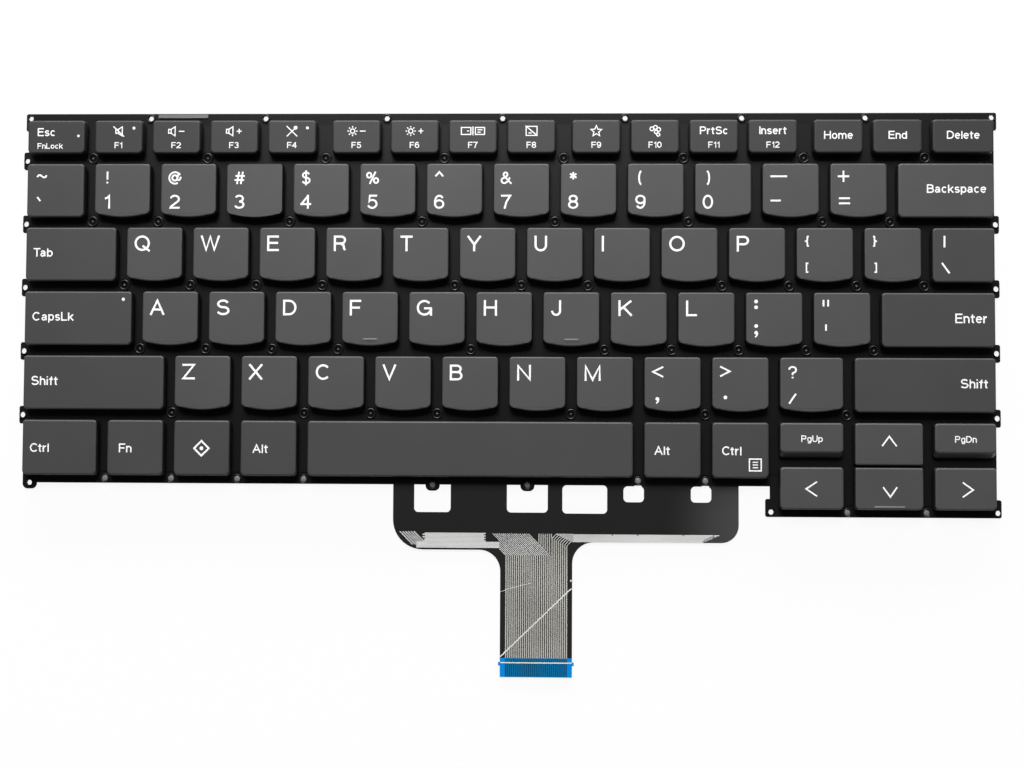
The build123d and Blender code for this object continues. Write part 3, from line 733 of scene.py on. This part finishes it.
def printCap(bm, name, left, right, back, depth):
    # The legend of one cap, added to its mesh as raised ink
    centreX = (left + right) / 2
    iconY = back - legend["iconDrop"]

    def at(point):
        return left + point[0], back - point[1]

    def writeWord(text, height, x, drop, align="centre"):
        writeText(bm, text, height, x, back - drop, align, weight=legend["wordWeight"])

    if len(name) == 1 and name.isalpha():
        height = legend["letterHeight"]
        y = back - legend["letterTop"] - height / 2
        writeText(bm, name.upper(), height, left + legend["letterLeft"], y, "left")
    if name in digitPairs:
        symbol = digitPairs[name]
        x = left + legend["pairX"] + symbolShifts.get(symbol, 0)
        writeText(bm, name, legend["digitHeight"], x, back - legend["digitDrop"])
        drop = symbolDrops.get(symbol, legend["symbolDrop"])
        writeText(bm, symbol, legend["symbolHeight"], x, back - drop, middle="outline")
    if name in words:
        word = words[name]
        height = wordHeights.get(word, legend["wordHeight"])
        drop = legend["wordDrop"] if depth > legend["deepCap"] else legend["shallowDrop"]
        if name in rightWords:
            writeWord(word, height, right - legend["wordIndent"], drop, "right")
        elif name in middleWords:
            height = legend["rowWordHeight"] if name in functionNames else legend["pageWordHeight"]
            writeWord(word, height, centreX, legend["middleDrop"])
        elif name in wordIndents:
            writeWord(word, height, left + wordIndents[name], legend["frontDrop"], "left")
        else:
            writeWord(word, height, left + legend["wordIndent"], drop, "left")
    for i, points in enumerate(strokes.get(name, ())):
        width = legend["arrowStroke"] if name in arrowKeys else legend["stroke"]
        ink(bm, [at(p) for p in points], width, i)
    for point in dots.get(name, ()):
        inkDot(bm, *at(point), legend["dot"])
    if name in tails:
        x, y = at(tails[name])
        ink(bm, [(x + dx, y + dy) for dx, dy in tail["points"]], tail["width"], 1)
    for text, height, x, y in glyphs.get(name, ()):
        writeText(bm, text, height, left + x, back - y, middle="outline")
    if name in dotSpots:
        x, y, radius = dotSpots[name]
        inkDot(bm, x + (left if x > 0 else right), back - y, radius)
    for i, (points, closed) in enumerate(icons.get(name, ())):
        placed = [(centreX + x, iconY + y) for x, y in points]
        ink(bm, placed, legend["iconStroke"], i % legend["levels"], closed)
    if name in iconDots:
        x, y, radius = iconDots[name]
        inkDot(bm, centreX + x, iconY + y, radius)
    if name in functionLabels:
        writeWord(functionLabels[name], legend["labelHeight"], centreX, legend["labelDrop"])
    if name in functionWords:
        writeWord(functionWords[name], legend["functionHeight"], centreX, legend["functionDrop"])
    if name == "escape":
        for text, height, x, drop in escapeWords:
            writeWord(text, height, left + x, drop, "left")
    if name == "system":
        x, y, reach = centreX, back - legend["frontDrop"], diamond["reach"]
        points = [(x, y - reach), (x + reach, y), (x, y + reach), (x - reach, y)]
        ink(bm, points, diamond["width"], closed=True)
        inkDot(bm, x, y, diamond["dot"])
    if name == "right_ctrl":
        x, y = right - menu["right"], back - menu["drop"]
        half, line = menu["half"], menu["line"]
        ink(bm, rectangle(x - half, y - half, x + half, y + half), menu["width"], closed=True)
        for step in (-line, 0, line):
            ink(bm, [(x - line, y + step), (x + line, y + step)], menu["lineWidth"])


# Raised bars: length and distance from the front edge
homing = {"f": (4.0, 1.6), "j": (4.0, 1.6), "down": (8.5, 0.5)}
homingBar = {"width": 0.45, "height": 0.12, "sink": 0.05, "round": 0.05, "roundSteps": 2}


def addHomingBar(bm, name, left, right, front):
    if name in homing:
        length, inset = homing[name]
        x, y = (left + right) / 2, front + inset + homingBar["width"] / 2
        points = [(x - length / 2, y), (x + length / 2, y)]
        low, high = cap["top"] - homingBar["sink"], cap["top"] + homingBar["height"]
        # The whole bar takes the pale bar material: a painted highlight
        faces = ribbon(bm, points, homingBar["width"], low, high, barHighlightPlace)
        edges = list({e for f in faces for e in f.edges})
        rounded(bm, edges, "EDGES", homingBar["round"], homingBar["roundSteps"])


def apronOf(name):
    return cap["apron"] if name in pageKeys else 0


def capPiece(name, low, high, body, replaced):
    bm = bmesh.new()
    bowed = len(name) == 1 or name in bowedKeys
    apron = apronOf(name)
    frontCorner = cap["tightCorner"] if name == "up" else cap["frontCorner"]
    backCorner = cap["tightCorner"] if name == "down" else cap["backCorner"]
    buildCap(bm, low, high, bowed, apron, backCorner, frontCorner)
    left, right = low.x + cap["taper"], high.x - cap["taper"]
    front, back = low.y + cap["taper"] + apron, high.y - cap["taper"]
    addHomingBar(bm, name, left, right, front)
    printCap(bm, name, left, right, back, back - front)
    # Function row and edge caps take darker copies of the one cap plastic: painted shade
    plastic = rowPlasticPaintedShade if name in functionNames else widePlasticPaintedShade if name in edgeShadeKeys else capPlastic
    materials = [plastic, legendInk, barPaintedHighlight, skirtPaintedShade]
    piece = newObject("cap_" + name, bm, materials, body, [replaced])
    # The broad faces keep their own normals, so the rounded edges alone carry the light
    flatten = piece.modifiers.new("flatFaces", "WEIGHTED_NORMAL")
    flatten.keep_sharp = True


def mergedCopy(node):
    bm = bmesh.new()
    bm.from_mesh(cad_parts[node].data)
    bmesh.ops.remove_doubles(bm, verts=bm.verts, dist=tiny)
    return bm


def islands(members, neighbours):
    # Parts the corners or faces of a mesh into groups that hang together
    left = set(members)
    groups = []
    while left:
        stack = [left.pop()]
        groups.append([])
        while stack:
            item = stack.pop()
            groups[-1].append(item)
            for other in neighbours(item):
                if other in left:
                    left.remove(other)
                    stack.append(other)
    return groups


def boxRound(verts):
    # The low and high corner of the box round some corners, in millimetres
    low = Vector([min(v.co[i] for v in verts) for i in range(3)])
    high = Vector([max(v.co[i] for v in verts) for i in range(3)])
    return low / mm, high / mm


def solidBoxes(node):
    # The boxes of a node's separate solids, from left to right
    bm = mergedCopy(node)
    groups = islands(bm.verts, lambda v: [edge.other_vert(v) for edge in v.link_edges])
    boxes = [boxRound(group) for group in groups]
    bm.free()
    return sorted(boxes, key=lambda box: box[0].x)


functionNames = ["escape"] + [f"f{i}" for i in range(1, 13)] + ["home", "end", "delete"]
numberNames = ["backquote"] + [f"{digit}" for digit in "1234567890"]
numberNames += ["minus", "equals", "backspace"]
movingKeys = sorted(node.removeprefix("key_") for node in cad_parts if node.startswith("key_"))
keyBoxes = {}
for name in movingKeys:
    keyNode = "key_" + name
    low, high = (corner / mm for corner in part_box(keyNode))
    keyBoxes[name] = (low, high)
    capPiece(name, low, high, keyNode, keyNode)
for node, names in (("function_row_keycaps", functionNames), ("number_row_keycaps", numberNames)):
    for name, (low, high) in zip(names, solidBoxes(node)):
        keyBoxes[name] = (low, high)
        capPiece(name, low, high, "base", node)
print("keycaps made", len(keyBoxes))

# Scissor links, domes and wires under the caps
mechanism = {
    "filmTop": 0.75,
    "ceiling": 3.5,
    "travel": 1.3,
    "slack": 0.05,
    "linkWidth": 11.2,
    "linkLength": 8.5,
    "shortLinkLength": 6.2,
    "linkBar": 0.9,
    "linkThickness": 0.8,
    "sideGap": 0.2,
    "domeRadius": 2.3,
    "shortDomeRadius": 1.7,
    "crownRadius": 1.3,
    "domeRound": 0.1,
    "domeFoot": 0.3,
    "domeNeck": 0.5,
    "domeSteps": 16,
    "wireRadius": 0.4,
    "wireInset": 3.5,
    "wireBack": 1.0,
    "wireDepth": 5.5,
    "wireToe": 1.5,
}
domePlace, wirePlace = 1, 2  # A mechanism's materials after its link plastic
shortKeys = set(functionNames) | set(pageKeys)
wiredKeys = ("caps_lock", "enter", "left_shift", "right_shift", "space")


def link(bm, x, y, width, length, lean):
    half, reach = (width - mechanism["linkBar"]) / 2, (length - mechanism["linkBar"]) / 2
    points, thick = rectangle(-half, -reach, half, reach), mechanism["linkThickness"]
    faces = ribbon(bm, points, mechanism["linkBar"], -thick / 2, thick / 2, closed=True)
    level = (mechanism["filmTop"] + mechanism["ceiling"]) / 2
    place = Matrix.Translation((x, y, level)) @ Matrix.Rotation(lean, 4, "X")
    bmesh.ops.transform(bm, matrix=place, verts=list({v for face in faces for v in face.verts}))


def addDome(bm, x, y, radius):
    crown, bottom, top = mechanism["crownRadius"], mechanism["filmTop"], mechanism["ceiling"]
    profile = [
        (pole, bottom),
        (radius, bottom),
        (radius - mechanism["domeRound"], bottom + mechanism["domeFoot"]),
        (crown + mechanism["domeRound"], top - mechanism["domeNeck"]),
        (crown, top),
        (pole, top),
    ]
    spun(bm, profile, x, y, mechanism["domeSteps"], domePlace)


def addWire(bm, x, low, high):
    # A rod across the back of the cap, with a leg and a toe at each end
    start = len(bm.faces)
    inset = cap["taper"] + cap["sideWall"]
    end = (high.x - low.x) / 2 - inset - mechanism["wireInset"]
    rodY = high.y - inset - mechanism["wireBack"]
    toeY = rodY - mechanism["wireDepth"]
    clear = mechanism["slack"] + mechanism["wireRadius"]
    rodZ, toeZ = mechanism["ceiling"] - clear, mechanism["filmTop"] + clear
    leg = [(end - mechanism["wireToe"], toeY, toeZ), (end, toeY, toeZ), (end, rodY, rodZ)]
    points = [(x - dx, y, z) for dx, y, z in leg] + [(x + dx, y, z) for dx, y, z in reversed(leg)]
    tube(bm, points, mechanism["wireRadius"])
    bm.faces.ensure_lookup_table()
    for face in bm.faces[start:]:
        face.material_index = wirePlace


def keyMechanism(bm, name):
    low, high = keyBoxes[name]
    x, y = (low.x + high.x) / 2, (low.y + apronOf(name) + high.y) / 2
    short = name in shortKeys
    length = mechanism["shortLinkLength"] if short else mechanism["linkLength"]
    reach = (mechanism["ceiling"] - mechanism["filmTop"]) / 2 - mechanism["slack"]
    thick = mechanism["linkThickness"]
    lean = math.asin(reach / math.hypot(length / 2, thick / 2)) - math.atan2(thick, length)
    link(bm, x, y, mechanism["linkWidth"], length, lean)
    inner = mechanism["linkWidth"] - 2 * (mechanism["linkBar"] + mechanism["sideGap"])
    link(bm, x, y, inner, length, -lean)
    addDome(bm, x, y, mechanism["shortDomeRadius"] if short else mechanism["domeRadius"])
    if name in wiredKeys:
        addWire(bm, x, low, high)


mechanismMaterials = [linkPlastic, domeRubber, wireSteel]
mechanismNodes = ["scissor_links", "rubber_domes"]
for name in movingKeys:
    bm = bmesh.new()
    keyMechanism(bm, name)
    replaced = mechanismNodes + (["stabilizer_bars"] if name in wiredKeys else [])
    piece = newObject("mechanism_" + name, bm, mechanismMaterials, "base", replaced)
    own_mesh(piece)
bm = bmesh.new()
for name in functionNames + numberNames:
    keyMechanism(bm, name)
newObject("mechanism_fixed_rows", bm, mechanismMaterials, "base", mechanismNodes)
print("mechanisms made")

# Screw bosses round the plate's holes, and the lip behind the second function key, whose paler colour is a
# painted sheen on its tilted face
boss = {
    "plateTop": 0.5,
    "top": 1.0,
    "bore": 0.78,
    "radius": 1.6,
    "edgeRadius": 1.3,
    "earRadius": 0.95,
    "bulge": 0.6,
    "bulgeSteps": 8,
    "glintRing": 0.62,
    "rivetRing": 0.42,
    "pit": 0.62,
    "rivet": 0.8,
    "glint": 0.27,
    "headEdge": 0.1,
    "headShoulder": (0.6, 0.2),
    "headTop": 0.24,
    "steps": 24,
    "smoothAngle": 50,
    "earMargin": 4,
    "edgeMargin": 2,
    "frontMargin": 2.4,
    "clusterEarX": 80,
    "wallSlope": 0.3,
    "widestHole": 3,
}
bossPlaces = {"rivet": 1, "glint": 2, "pit": 3}  # Materials after the paint


def holeCentres():
    bm = mergedCopy("backplate")
    walls = [f for f in bm.faces if abs(f.normal.z) < boss["wallSlope"]]
    groups = islands(walls, lambda f: [other for edge in f.edges for other in edge.link_faces])
    boxes = [boxRound([v for f in group for v in f.verts]) for group in groups]
    bm.free()
    middles = [(low + high) / 2 for low, high in boxes if high.x - low.x < boss["widestHole"]]
    return sorted((middle.x, middle.y) for middle in middles)


plateLow, plateHigh = (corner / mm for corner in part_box("backplate"))
plateFront = keyBoxes["space"][0].y + cap["taper"] - boss["frontMargin"]


def bossKind(x, y):
    margin = boss["edgeMargin"]
    if abs(x) > plateHigh.x - boss["earMargin"] or (y < plateLow.y + margin and x < boss["clusterEarX"]):
        return "open", boss["earRadius"]
    if y > plateHigh.y - margin:
        return "open", boss["edgeRadius"]
    if y < plateFront + margin:
        return "rivet", boss["edgeRadius"]
    return "glint", boss["radius"]


def addBoss(bm, x, y):
    kind, radius = bossKind(x, y)
    base, pit = boss["plateTop"], boss["pit"]
    ring = radius - boss["bore"] if kind == "open" else boss[kind + "Ring"]
    middle, half, rise = radius - ring / 2, ring / 2, boss["top"] - base
    turns = [math.pi * i / boss["bulgeSteps"] for i in range(boss["bulgeSteps"] + 1)]
    bulge = [(middle + half * math.cos(a), base + rise * math.sin(a) ** boss["bulge"]) for a in turns]
    spun(bm, bulge, x, y, boss["steps"])
    if kind != "open":
        inner, head = radius - ring, boss[kind]
        # A black floor closes the bore: painted shade in the dark hole
        pitFloor = [(pole, base), (inner, base), (inner, pit), (pole, pit)]
        spun(bm, pitFloor, x, y, boss["steps"], bossPlaces["pit"])
        # The head's grey is a painted glint
        share, shoulder = boss["headShoulder"]
        dome = [(pole, pit), (head, pit), (head, pit + boss["headEdge"])]
        dome += [(head * share, pit + shoulder), (pole, pit + boss["headTop"])]
        spun(bm, dome, x, y, boss["steps"], bossPlaces[kind])


bm = bmesh.new()
holes = holeCentres()
for x, y in holes:
    addBoss(bm, x, y)
bossMaterials = [bossPaint, rivetPaintedGlint, paintedGlintGrey, pitPaintedShade]
newObject("screw_bosses", bm, bossMaterials, "base", smoothAngle=boss["smoothAngle"])
lip = {"start": 0.9, "end": 1.2, "back": 0.15, "depth": 1.15, "rise": 0.4, "sink": 0.05}
bm = bmesh.new()
lipLeft, lipRight = keyBoxes["f2"][0].x + lip["start"], keyBoxes["f2"][1].x + lip["end"]
lipBack = plateHigh.y - lip["back"]
lipFront = lipBack - lip["depth"]
lipBase = boss["plateTop"] - lip["sink"]
wedge = [(lipBack, lipBase), (lipBack, boss["plateTop"])]
wedge += [(lipFront, boss["plateTop"] + lip["rise"]), (lipFront, lipBase)]
side = bm.faces.new([bm.verts.new((lipLeft, y, z)) for y, z in wedge])
farVerts, _ = extruded(bm, [side])
bmesh.ops.translate(bm, verts=farVerts, vec=(lipRight - lipLeft, 0, 0))
bmesh.ops.recalc_face_normals(bm, faces=bm.faces)
newObject("back_lip", bm, [lipPaintedSheen], "base")
print("bosses made", len(holes))

# Film and stiffener: black print, painted darker under the keys than on the flap as painted shade, a painted
# reflection on the flap, and a blue end
film = {
    "black": grey(0.004),
    "roughness": 0.36,
    "gloss": 0.28,
    "grainScale": 2500,
    "grainStrength": 0.15,
    "flap": grey(0.0145),
    "paintedSheen": grey(0.068),
    "blue": (0.0, 0.215, 0.62),
    "blueRoughness": 0.4,
    "teal": (0.0, 0.15, 0.34),
    "flapY": -47.1,
    "flapX": 72.0,
    "sheenPlace": (68.0, -57.0, 0.7),
    "sheenReach": 24.0,
    "blueY": -95.75,
    "tealX": 8.9,
    "tealHalf": 8.75,
}


def filmMaterial(name):
    scale, strength = film["grainScale"], film["grainStrength"]
    material = newMaterial(name, film["black"], film["roughness"], scale, strength, gloss=film["gloss"])
    tree = material.node_tree
    nodes, links = tree.nodes, tree.links
    shader = nodes["Principled BSDF"]
    coords = nodes.new("ShaderNodeTexCoord")
    parts = nodes.new("ShaderNodeSeparateXYZ")
    links.new(coords.outputs["Object"], parts.inputs["Vector"])
    x, y = parts.outputs["X"], parts.outputs["Y"]

    def blend(factor, colour):
        mix = nodes.new("ShaderNodeMix")
        mix.data_type = "RGBA"
        mix.inputs[mixSecond].default_value = (*colour, 1)
        links.new(factor, mix.inputs["Factor"])
        links.new(shader.inputs["Base Color"].links[0].from_socket, mix.inputs[mixFirst])
        links.new(mix.outputs[mixResult], shader.inputs["Base Color"])

    # The flap is paler than the film under the keys, where the film is painted darker as painted shade
    # between the keys
    ahead = mathNode(tree, "LESS_THAN", y, film["flapY"] * mm)
    onFlap = mathNode(tree, "MULTIPLY", ahead, mathNode(tree, "LESS_THAN", x, film["flapX"] * mm))
    blend(onFlap, film["flap"])
    # A painted reflection: a pale patch on the flap that fades out from the sheen place
    away = nodes.new("ShaderNodeVectorMath")
    away.operation = "DISTANCE"
    links.new(coords.outputs["Object"], away.inputs[0])
    away.inputs[1].default_value = [v * mm for v in film["sheenPlace"]]
    fade = nodes.new("ShaderNodeMapRange")
    fade.interpolation_type = "SMOOTHSTEP"
    setInputs(fade, {"From Max": film["sheenReach"] * mm, "To Min": 1, "To Max": 0})
    links.new(away.outputs["Value"], fade.inputs["Value"])
    blend(mathNode(tree, "MULTIPLY", fade.outputs["Result"], onFlap), film["paintedSheen"])
    onEnd = mathNode(tree, "LESS_THAN", y, film["blueY"] * mm)
    blend(onEnd, film["blue"])
    offset = mathNode(tree, "ABSOLUTE", mathNode(tree, "SUBTRACT", x, film["tealX"] * mm))
    inMiddle = mathNode(tree, "LESS_THAN", offset, film["tealHalf"] * mm)
    blend(mathNode(tree, "MULTIPLY", inMiddle, onEnd), film["teal"])
    return material


filmPrint = filmMaterial("filmPrint")
stiffenerBlue = newMaterial("stiffenerBlue", film["blue"], film["blueRoughness"])
for node, material in (
    ("backplate", platePaint),
    ("membrane", filmPrint),
    ("tail_stiffener", stiffenerBlue),
):
    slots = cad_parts[node].data.materials
    if slots:
        slots[0] = material
    else:
        slots.append(material)

# Printed traces, contact lines and creases on the flap and tail
trace = {
    "low": 0.74,
    "high": 0.775,
    "step": 0.003,
    "width": 0.33,
    "count": 30,
    "left": 0.35,
    "pitch": 0.593,
    "top": -60.7,
    "end": -95.8,
}
# Where the lines turn into the tail: from the left band, from under the keys and from the right band
fan = {
    "bandLines": 4,
    "rightLines": 8,
    "end": -66.9,
    "bandRow": (-65.0, 0.53),
    "width": 0.18,
    "block": (9.65, 7),
    "blockWidth": 0.3,
    "turn": (-61.96, -0.302),
    "rightRow": (-60.8, -0.295),
    "rightX": 19.4,
}
band = {
    "width": 0.31,
    "pitch": 0.358,
    "lines": 12,
    "cutLines": 7,
    "top": -60.72,
    "left": -25.2,
    "cut": -5.5,
    "right": -1.5,
    "cutJag": 0.4,
    "jags": (2.3, 1.3, 1.7, 0.6, 1.0, 0.3, 0.1),
    "hatchLines": 6,
    "hatchLeft": -29.9,
    "hatchPitch": 0.8,
    "hatchTop": -60.25,
    "hatchFall": 3.7,
    "hatchWidth": 0.28,
    "rightLines": 7,
    "rightPitch": 0.32,
    "rightWidth": 0.28,
    "rightTop": -60.95,
    "rightEnd": 60.6,
    "rightStart": 19.4,
    "rightSkew": 0.8,
    "rightHook": [(1.0, 1.0), (0.55, 0.3)],
    "plainLines": 3,
}


def column(i):
    return trace["left"] + i * trace["pitch"]


def tailLines(bm):
    low, high = trace["low"], trace["high"]
    turned = trace["count"] - fan["rightLines"]
    for i in range(trace["count"]):
        x = column(i)
        start = fan["end"] if i < turned else fan["turn"][0] + fan["turn"][1] * (i - turned)
        ribbon(bm, [(x, start), (x, trace["end"])], trace["width"], low, high)
    lastStart = column(turned - 1) - (trace["top"] - fan["end"])
    left, count = fan["block"]
    for i in range(count):
        x = left + i * trace["pitch"]
        foot = trace["top"] - (x - lastStart) + 2 * fan["width"]
        ribbon(bm, [(x, trace["top"]), (x, foot)], fan["blockWidth"], low, high)


def fanLines(bm):
    low, high, step = trace["low"], trace["high"], trace["step"]
    turned = trace["count"] - fan["rightLines"]
    for i in range(turned):
        y = fan["bandRow"][0] + fan["bandRow"][1] * i if i < fan["bandLines"] else trace["top"]
        x = column(i)
        ribbon(bm, [(x - (y - fan["end"]), y), (x, fan["end"])], fan["width"], low, high)
    for i in range(fan["rightLines"]):
        x = column(turned + i)
        turn = fan["turn"][0] + fan["turn"][1] * i
        y = fan["rightRow"][0] + fan["rightRow"][1] * i
        points = [(fan["rightX"], y), (x + y - turn, y), (x, turn)]
        ribbon(bm, points, fan["width"], low, high + step * (i % 2))


def bandLines(bm):
    low, high, step = trace["low"], trace["high"], trace["step"]
    hatchRight = band["hatchLeft"] + band["hatchPitch"] * (band["hatchLines"] - 1)
    for row in range(band["lines"]):
        y = band["top"] - band["pitch"] * row
        start, end = band["left"], band["right"]
        if row < band["cutLines"]:
            start = hatchRight + band["hatchTop"] - y + band["hatchWidth"] + band["jags"][row]
            end = band["cut"] - band["cutJag"] * (row % 2)
        ribbon(bm, [(start, y), (end, y)], band["width"], low, high)
    for j in range(band["hatchLines"]):
        x = band["hatchLeft"] + band["hatchPitch"] * j
        fall = band["hatchFall"]
        points = [(x, band["hatchTop"]), (x + fall, band["hatchTop"] - fall)]
        ribbon(bm, points, band["hatchWidth"], low, high + step)
    for row in range(band["rightLines"]):
        y = band["rightTop"] - band["rightPitch"] * row
        end = band["rightEnd"] - band["rightSkew"] * row
        points = [(end, y), (band["rightStart"], y)]
        if row >= band["plainLines"]:
            points = [(end + dx, y + dy) for dx, dy in band["rightHook"]] + points
        ribbon(bm, points, band["rightWidth"], low, high)


bm = bmesh.new()
tailLines(bm)
newObject("tail_traces", bm, [traceSilver], "base")
bm = bmesh.new()
bandLines(bm)
fanLines(bm)
newObject("flap_traces", bm, [bandSilver], "base")
contacts = {"count": 30, "left": 0.3, "back": -96.0, "front": -100.9, "width": 0.22, "high": 0.77}
ticks = {"places": (30.0, 37.2, 50.1), "back": -60.5, "size": 0.6, "width": 0.25, "high": 0.782}
bm = bmesh.new()
for i in range(contacts["count"]):
    x = contacts["left"] + i * trace["pitch"]
    points = [(x, contacts["back"]), (x, contacts["front"])]
    ribbon(bm, points, contacts["width"], trace["low"], contacts["high"])
for x in ticks["places"]:
    points = [(x, ticks["back"]), (x + ticks["size"], ticks["back"] - ticks["size"])]
    ribbon(bm, points, ticks["width"], trace["low"], ticks["high"])
newObject("tail_contacts", bm, [contactDark], "base")
tailLine = {"left": -1.2, "right": 19.0, "y": -97.1, "width": 0.3, "high": 0.785}
bm = bmesh.new()
points = [(tailLine["left"], tailLine["y"]), (tailLine["right"], tailLine["y"])]
ribbon(bm, points, tailLine["width"], trace["low"], tailLine["high"])
newObject("tail_line", bm, [creamLine], "base")
crease = {
    "start": (-1.25, -95.5),
    "end": (18.85, -76.1),
    "steps": 44,
    "wander": 0.05,
    "width": 0.34,
    "faint": [(-1.25, -77.2), (1.8, -76.1), (5.75, -75.1), (7.45, -74.7)],
    "faintWidth": 0.12,
    "nick": (18.73, -73.95, 0.28),
    "nickSides": 8,
    "high": 0.79,
}
bm = bmesh.new()
points = []
for i in range(crease["steps"] + 1):
    share = i / crease["steps"]
    wander = crease["wander"] * (i % 3 - 1)
    x, y = (a + (b - a) * share for a, b in zip(crease["start"], crease["end"]))
    points.append((x + wander, y - wander))
ribbon(bm, points, crease["width"], trace["low"], crease["high"])
ribbon(bm, crease["faint"], crease["faintWidth"], trace["low"], crease["high"])
nickX, nickY, nickRadius = crease["nick"]
disc(bm, nickX, nickY, nickRadius, trace["low"], crease["high"], sides=crease["nickSides"])
newObject("tail_crease", bm, [creaseWhite], "base")
print("film print made")

# Floor and lights
floorSettings = {"size": 6.0, "drop": 0.00003, "colour": (*grey(0.86), 1), "roughness": 0.9, "glow": 0.9}
worldStrength = 0.05


def floorPiece():
    bm = bmesh.new()
    level = Matrix.Translation((0, 0, -floorSettings["drop"]))
    bmesh.ops.create_grid(bm, x_segments=1, y_segments=1, size=floorSettings["size"] / 2, matrix=level)
    mesh = bpy.data.meshes.new("floor")
    bm.to_mesh(mesh)
    bm.free()
    floor = bpy.data.objects.new("floor", mesh)
    scene.collection.objects.link(floor)
    material = bpy.data.materials.new("floorPaper")
    material.use_nodes = True
    tree = material.node_tree
    nodes, links = tree.nodes, tree.links
    shader = nodes["Principled BSDF"]
    setInputs(shader, {"Base Color": floorSettings["colour"], "Roughness": floorSettings["roughness"]})
    glow = nodes.new("ShaderNodeEmission")
    mix = nodes.new("ShaderNodeMixShader")
    path = nodes.new("ShaderNodeLightPath")
    share = mathNode(tree, "MULTIPLY", path.outputs["Is Camera Ray"], floorSettings["glow"])
    links.new(share, mix.inputs["Fac"])
    links.new(shader.outputs["BSDF"], mix.inputs[1])
    links.new(glow.outputs["Emission"], mix.inputs[2])
    links.new(mix.outputs["Shader"], nodes["Material Output"].inputs["Surface"])
    mesh.materials.append(material)


floorPiece()
world = bpy.data.worlds.new("studio")
world.use_nodes = True
setInputs(world.node_tree.nodes["Background"], {"Color": (1, 1, 1, 1), "Strength": worldStrength})
scene.world = world
# Soft panels that face the object; the low ones aren't mirrored, so the caps stay dark in a low view
lightSettings = {
    "backSky": {"place": (-0.1, 1.0, 1.2), "size": (0.7, 0.8), "power": 26.5, "mirrored": True},
    "backStrip": {"place": (0.0, 0.9, 0.12), "size": (1.4, 0.2), "power": 33.0, "mirrored": False},
    "frontFill": {"place": (0.0, -1.2, 0.5), "size": (1.6, 0.6), "power": 4.3, "mirrored": False},
}
for name, light in lightSettings.items():
    data = bpy.data.lights.new(name, "AREA")
    data.shape = "RECTANGLE"
    data.size, data.size_y = light["size"]
    data.energy = light["power"]
    lamp = bpy.data.objects.new(name, data)
    lamp.location = light["place"]
    lamp.visible_glossy = light["mirrored"]
    lamp.rotation_euler = (-Vector(light["place"])).to_track_quat("-Z", "Y").to_euler()
    scene.collection.objects.link(lamp)
print("lights set", len(lightSettings))

# Camera, at the photograph's place
cameraSettings = {
    "turn": (-0.04432, -0.02827, -0.00357),
    "place": (1.685, -18.179, 429.12),
    "lens": 52.73,
    "sensor": 36,
    "nearest": 0.01,
}
data = bpy.data.cameras.new("photo")
data.sensor_width = cameraSettings["sensor"]
data.lens = cameraSettings["lens"]
data.clip_start = cameraSettings["nearest"]
camera = bpy.data.objects.new("photo", data)
turn = Euler(cameraSettings["turn"], "XYZ").to_matrix().transposed()
place = turn @ Vector(cameraSettings["place"])
camera.matrix_world = Matrix.Translation(place * mm) @ turn.to_4x4()
scene.collection.objects.link(camera)
scene.camera = camera
print("camera at", [round(v, 2) for v in place])
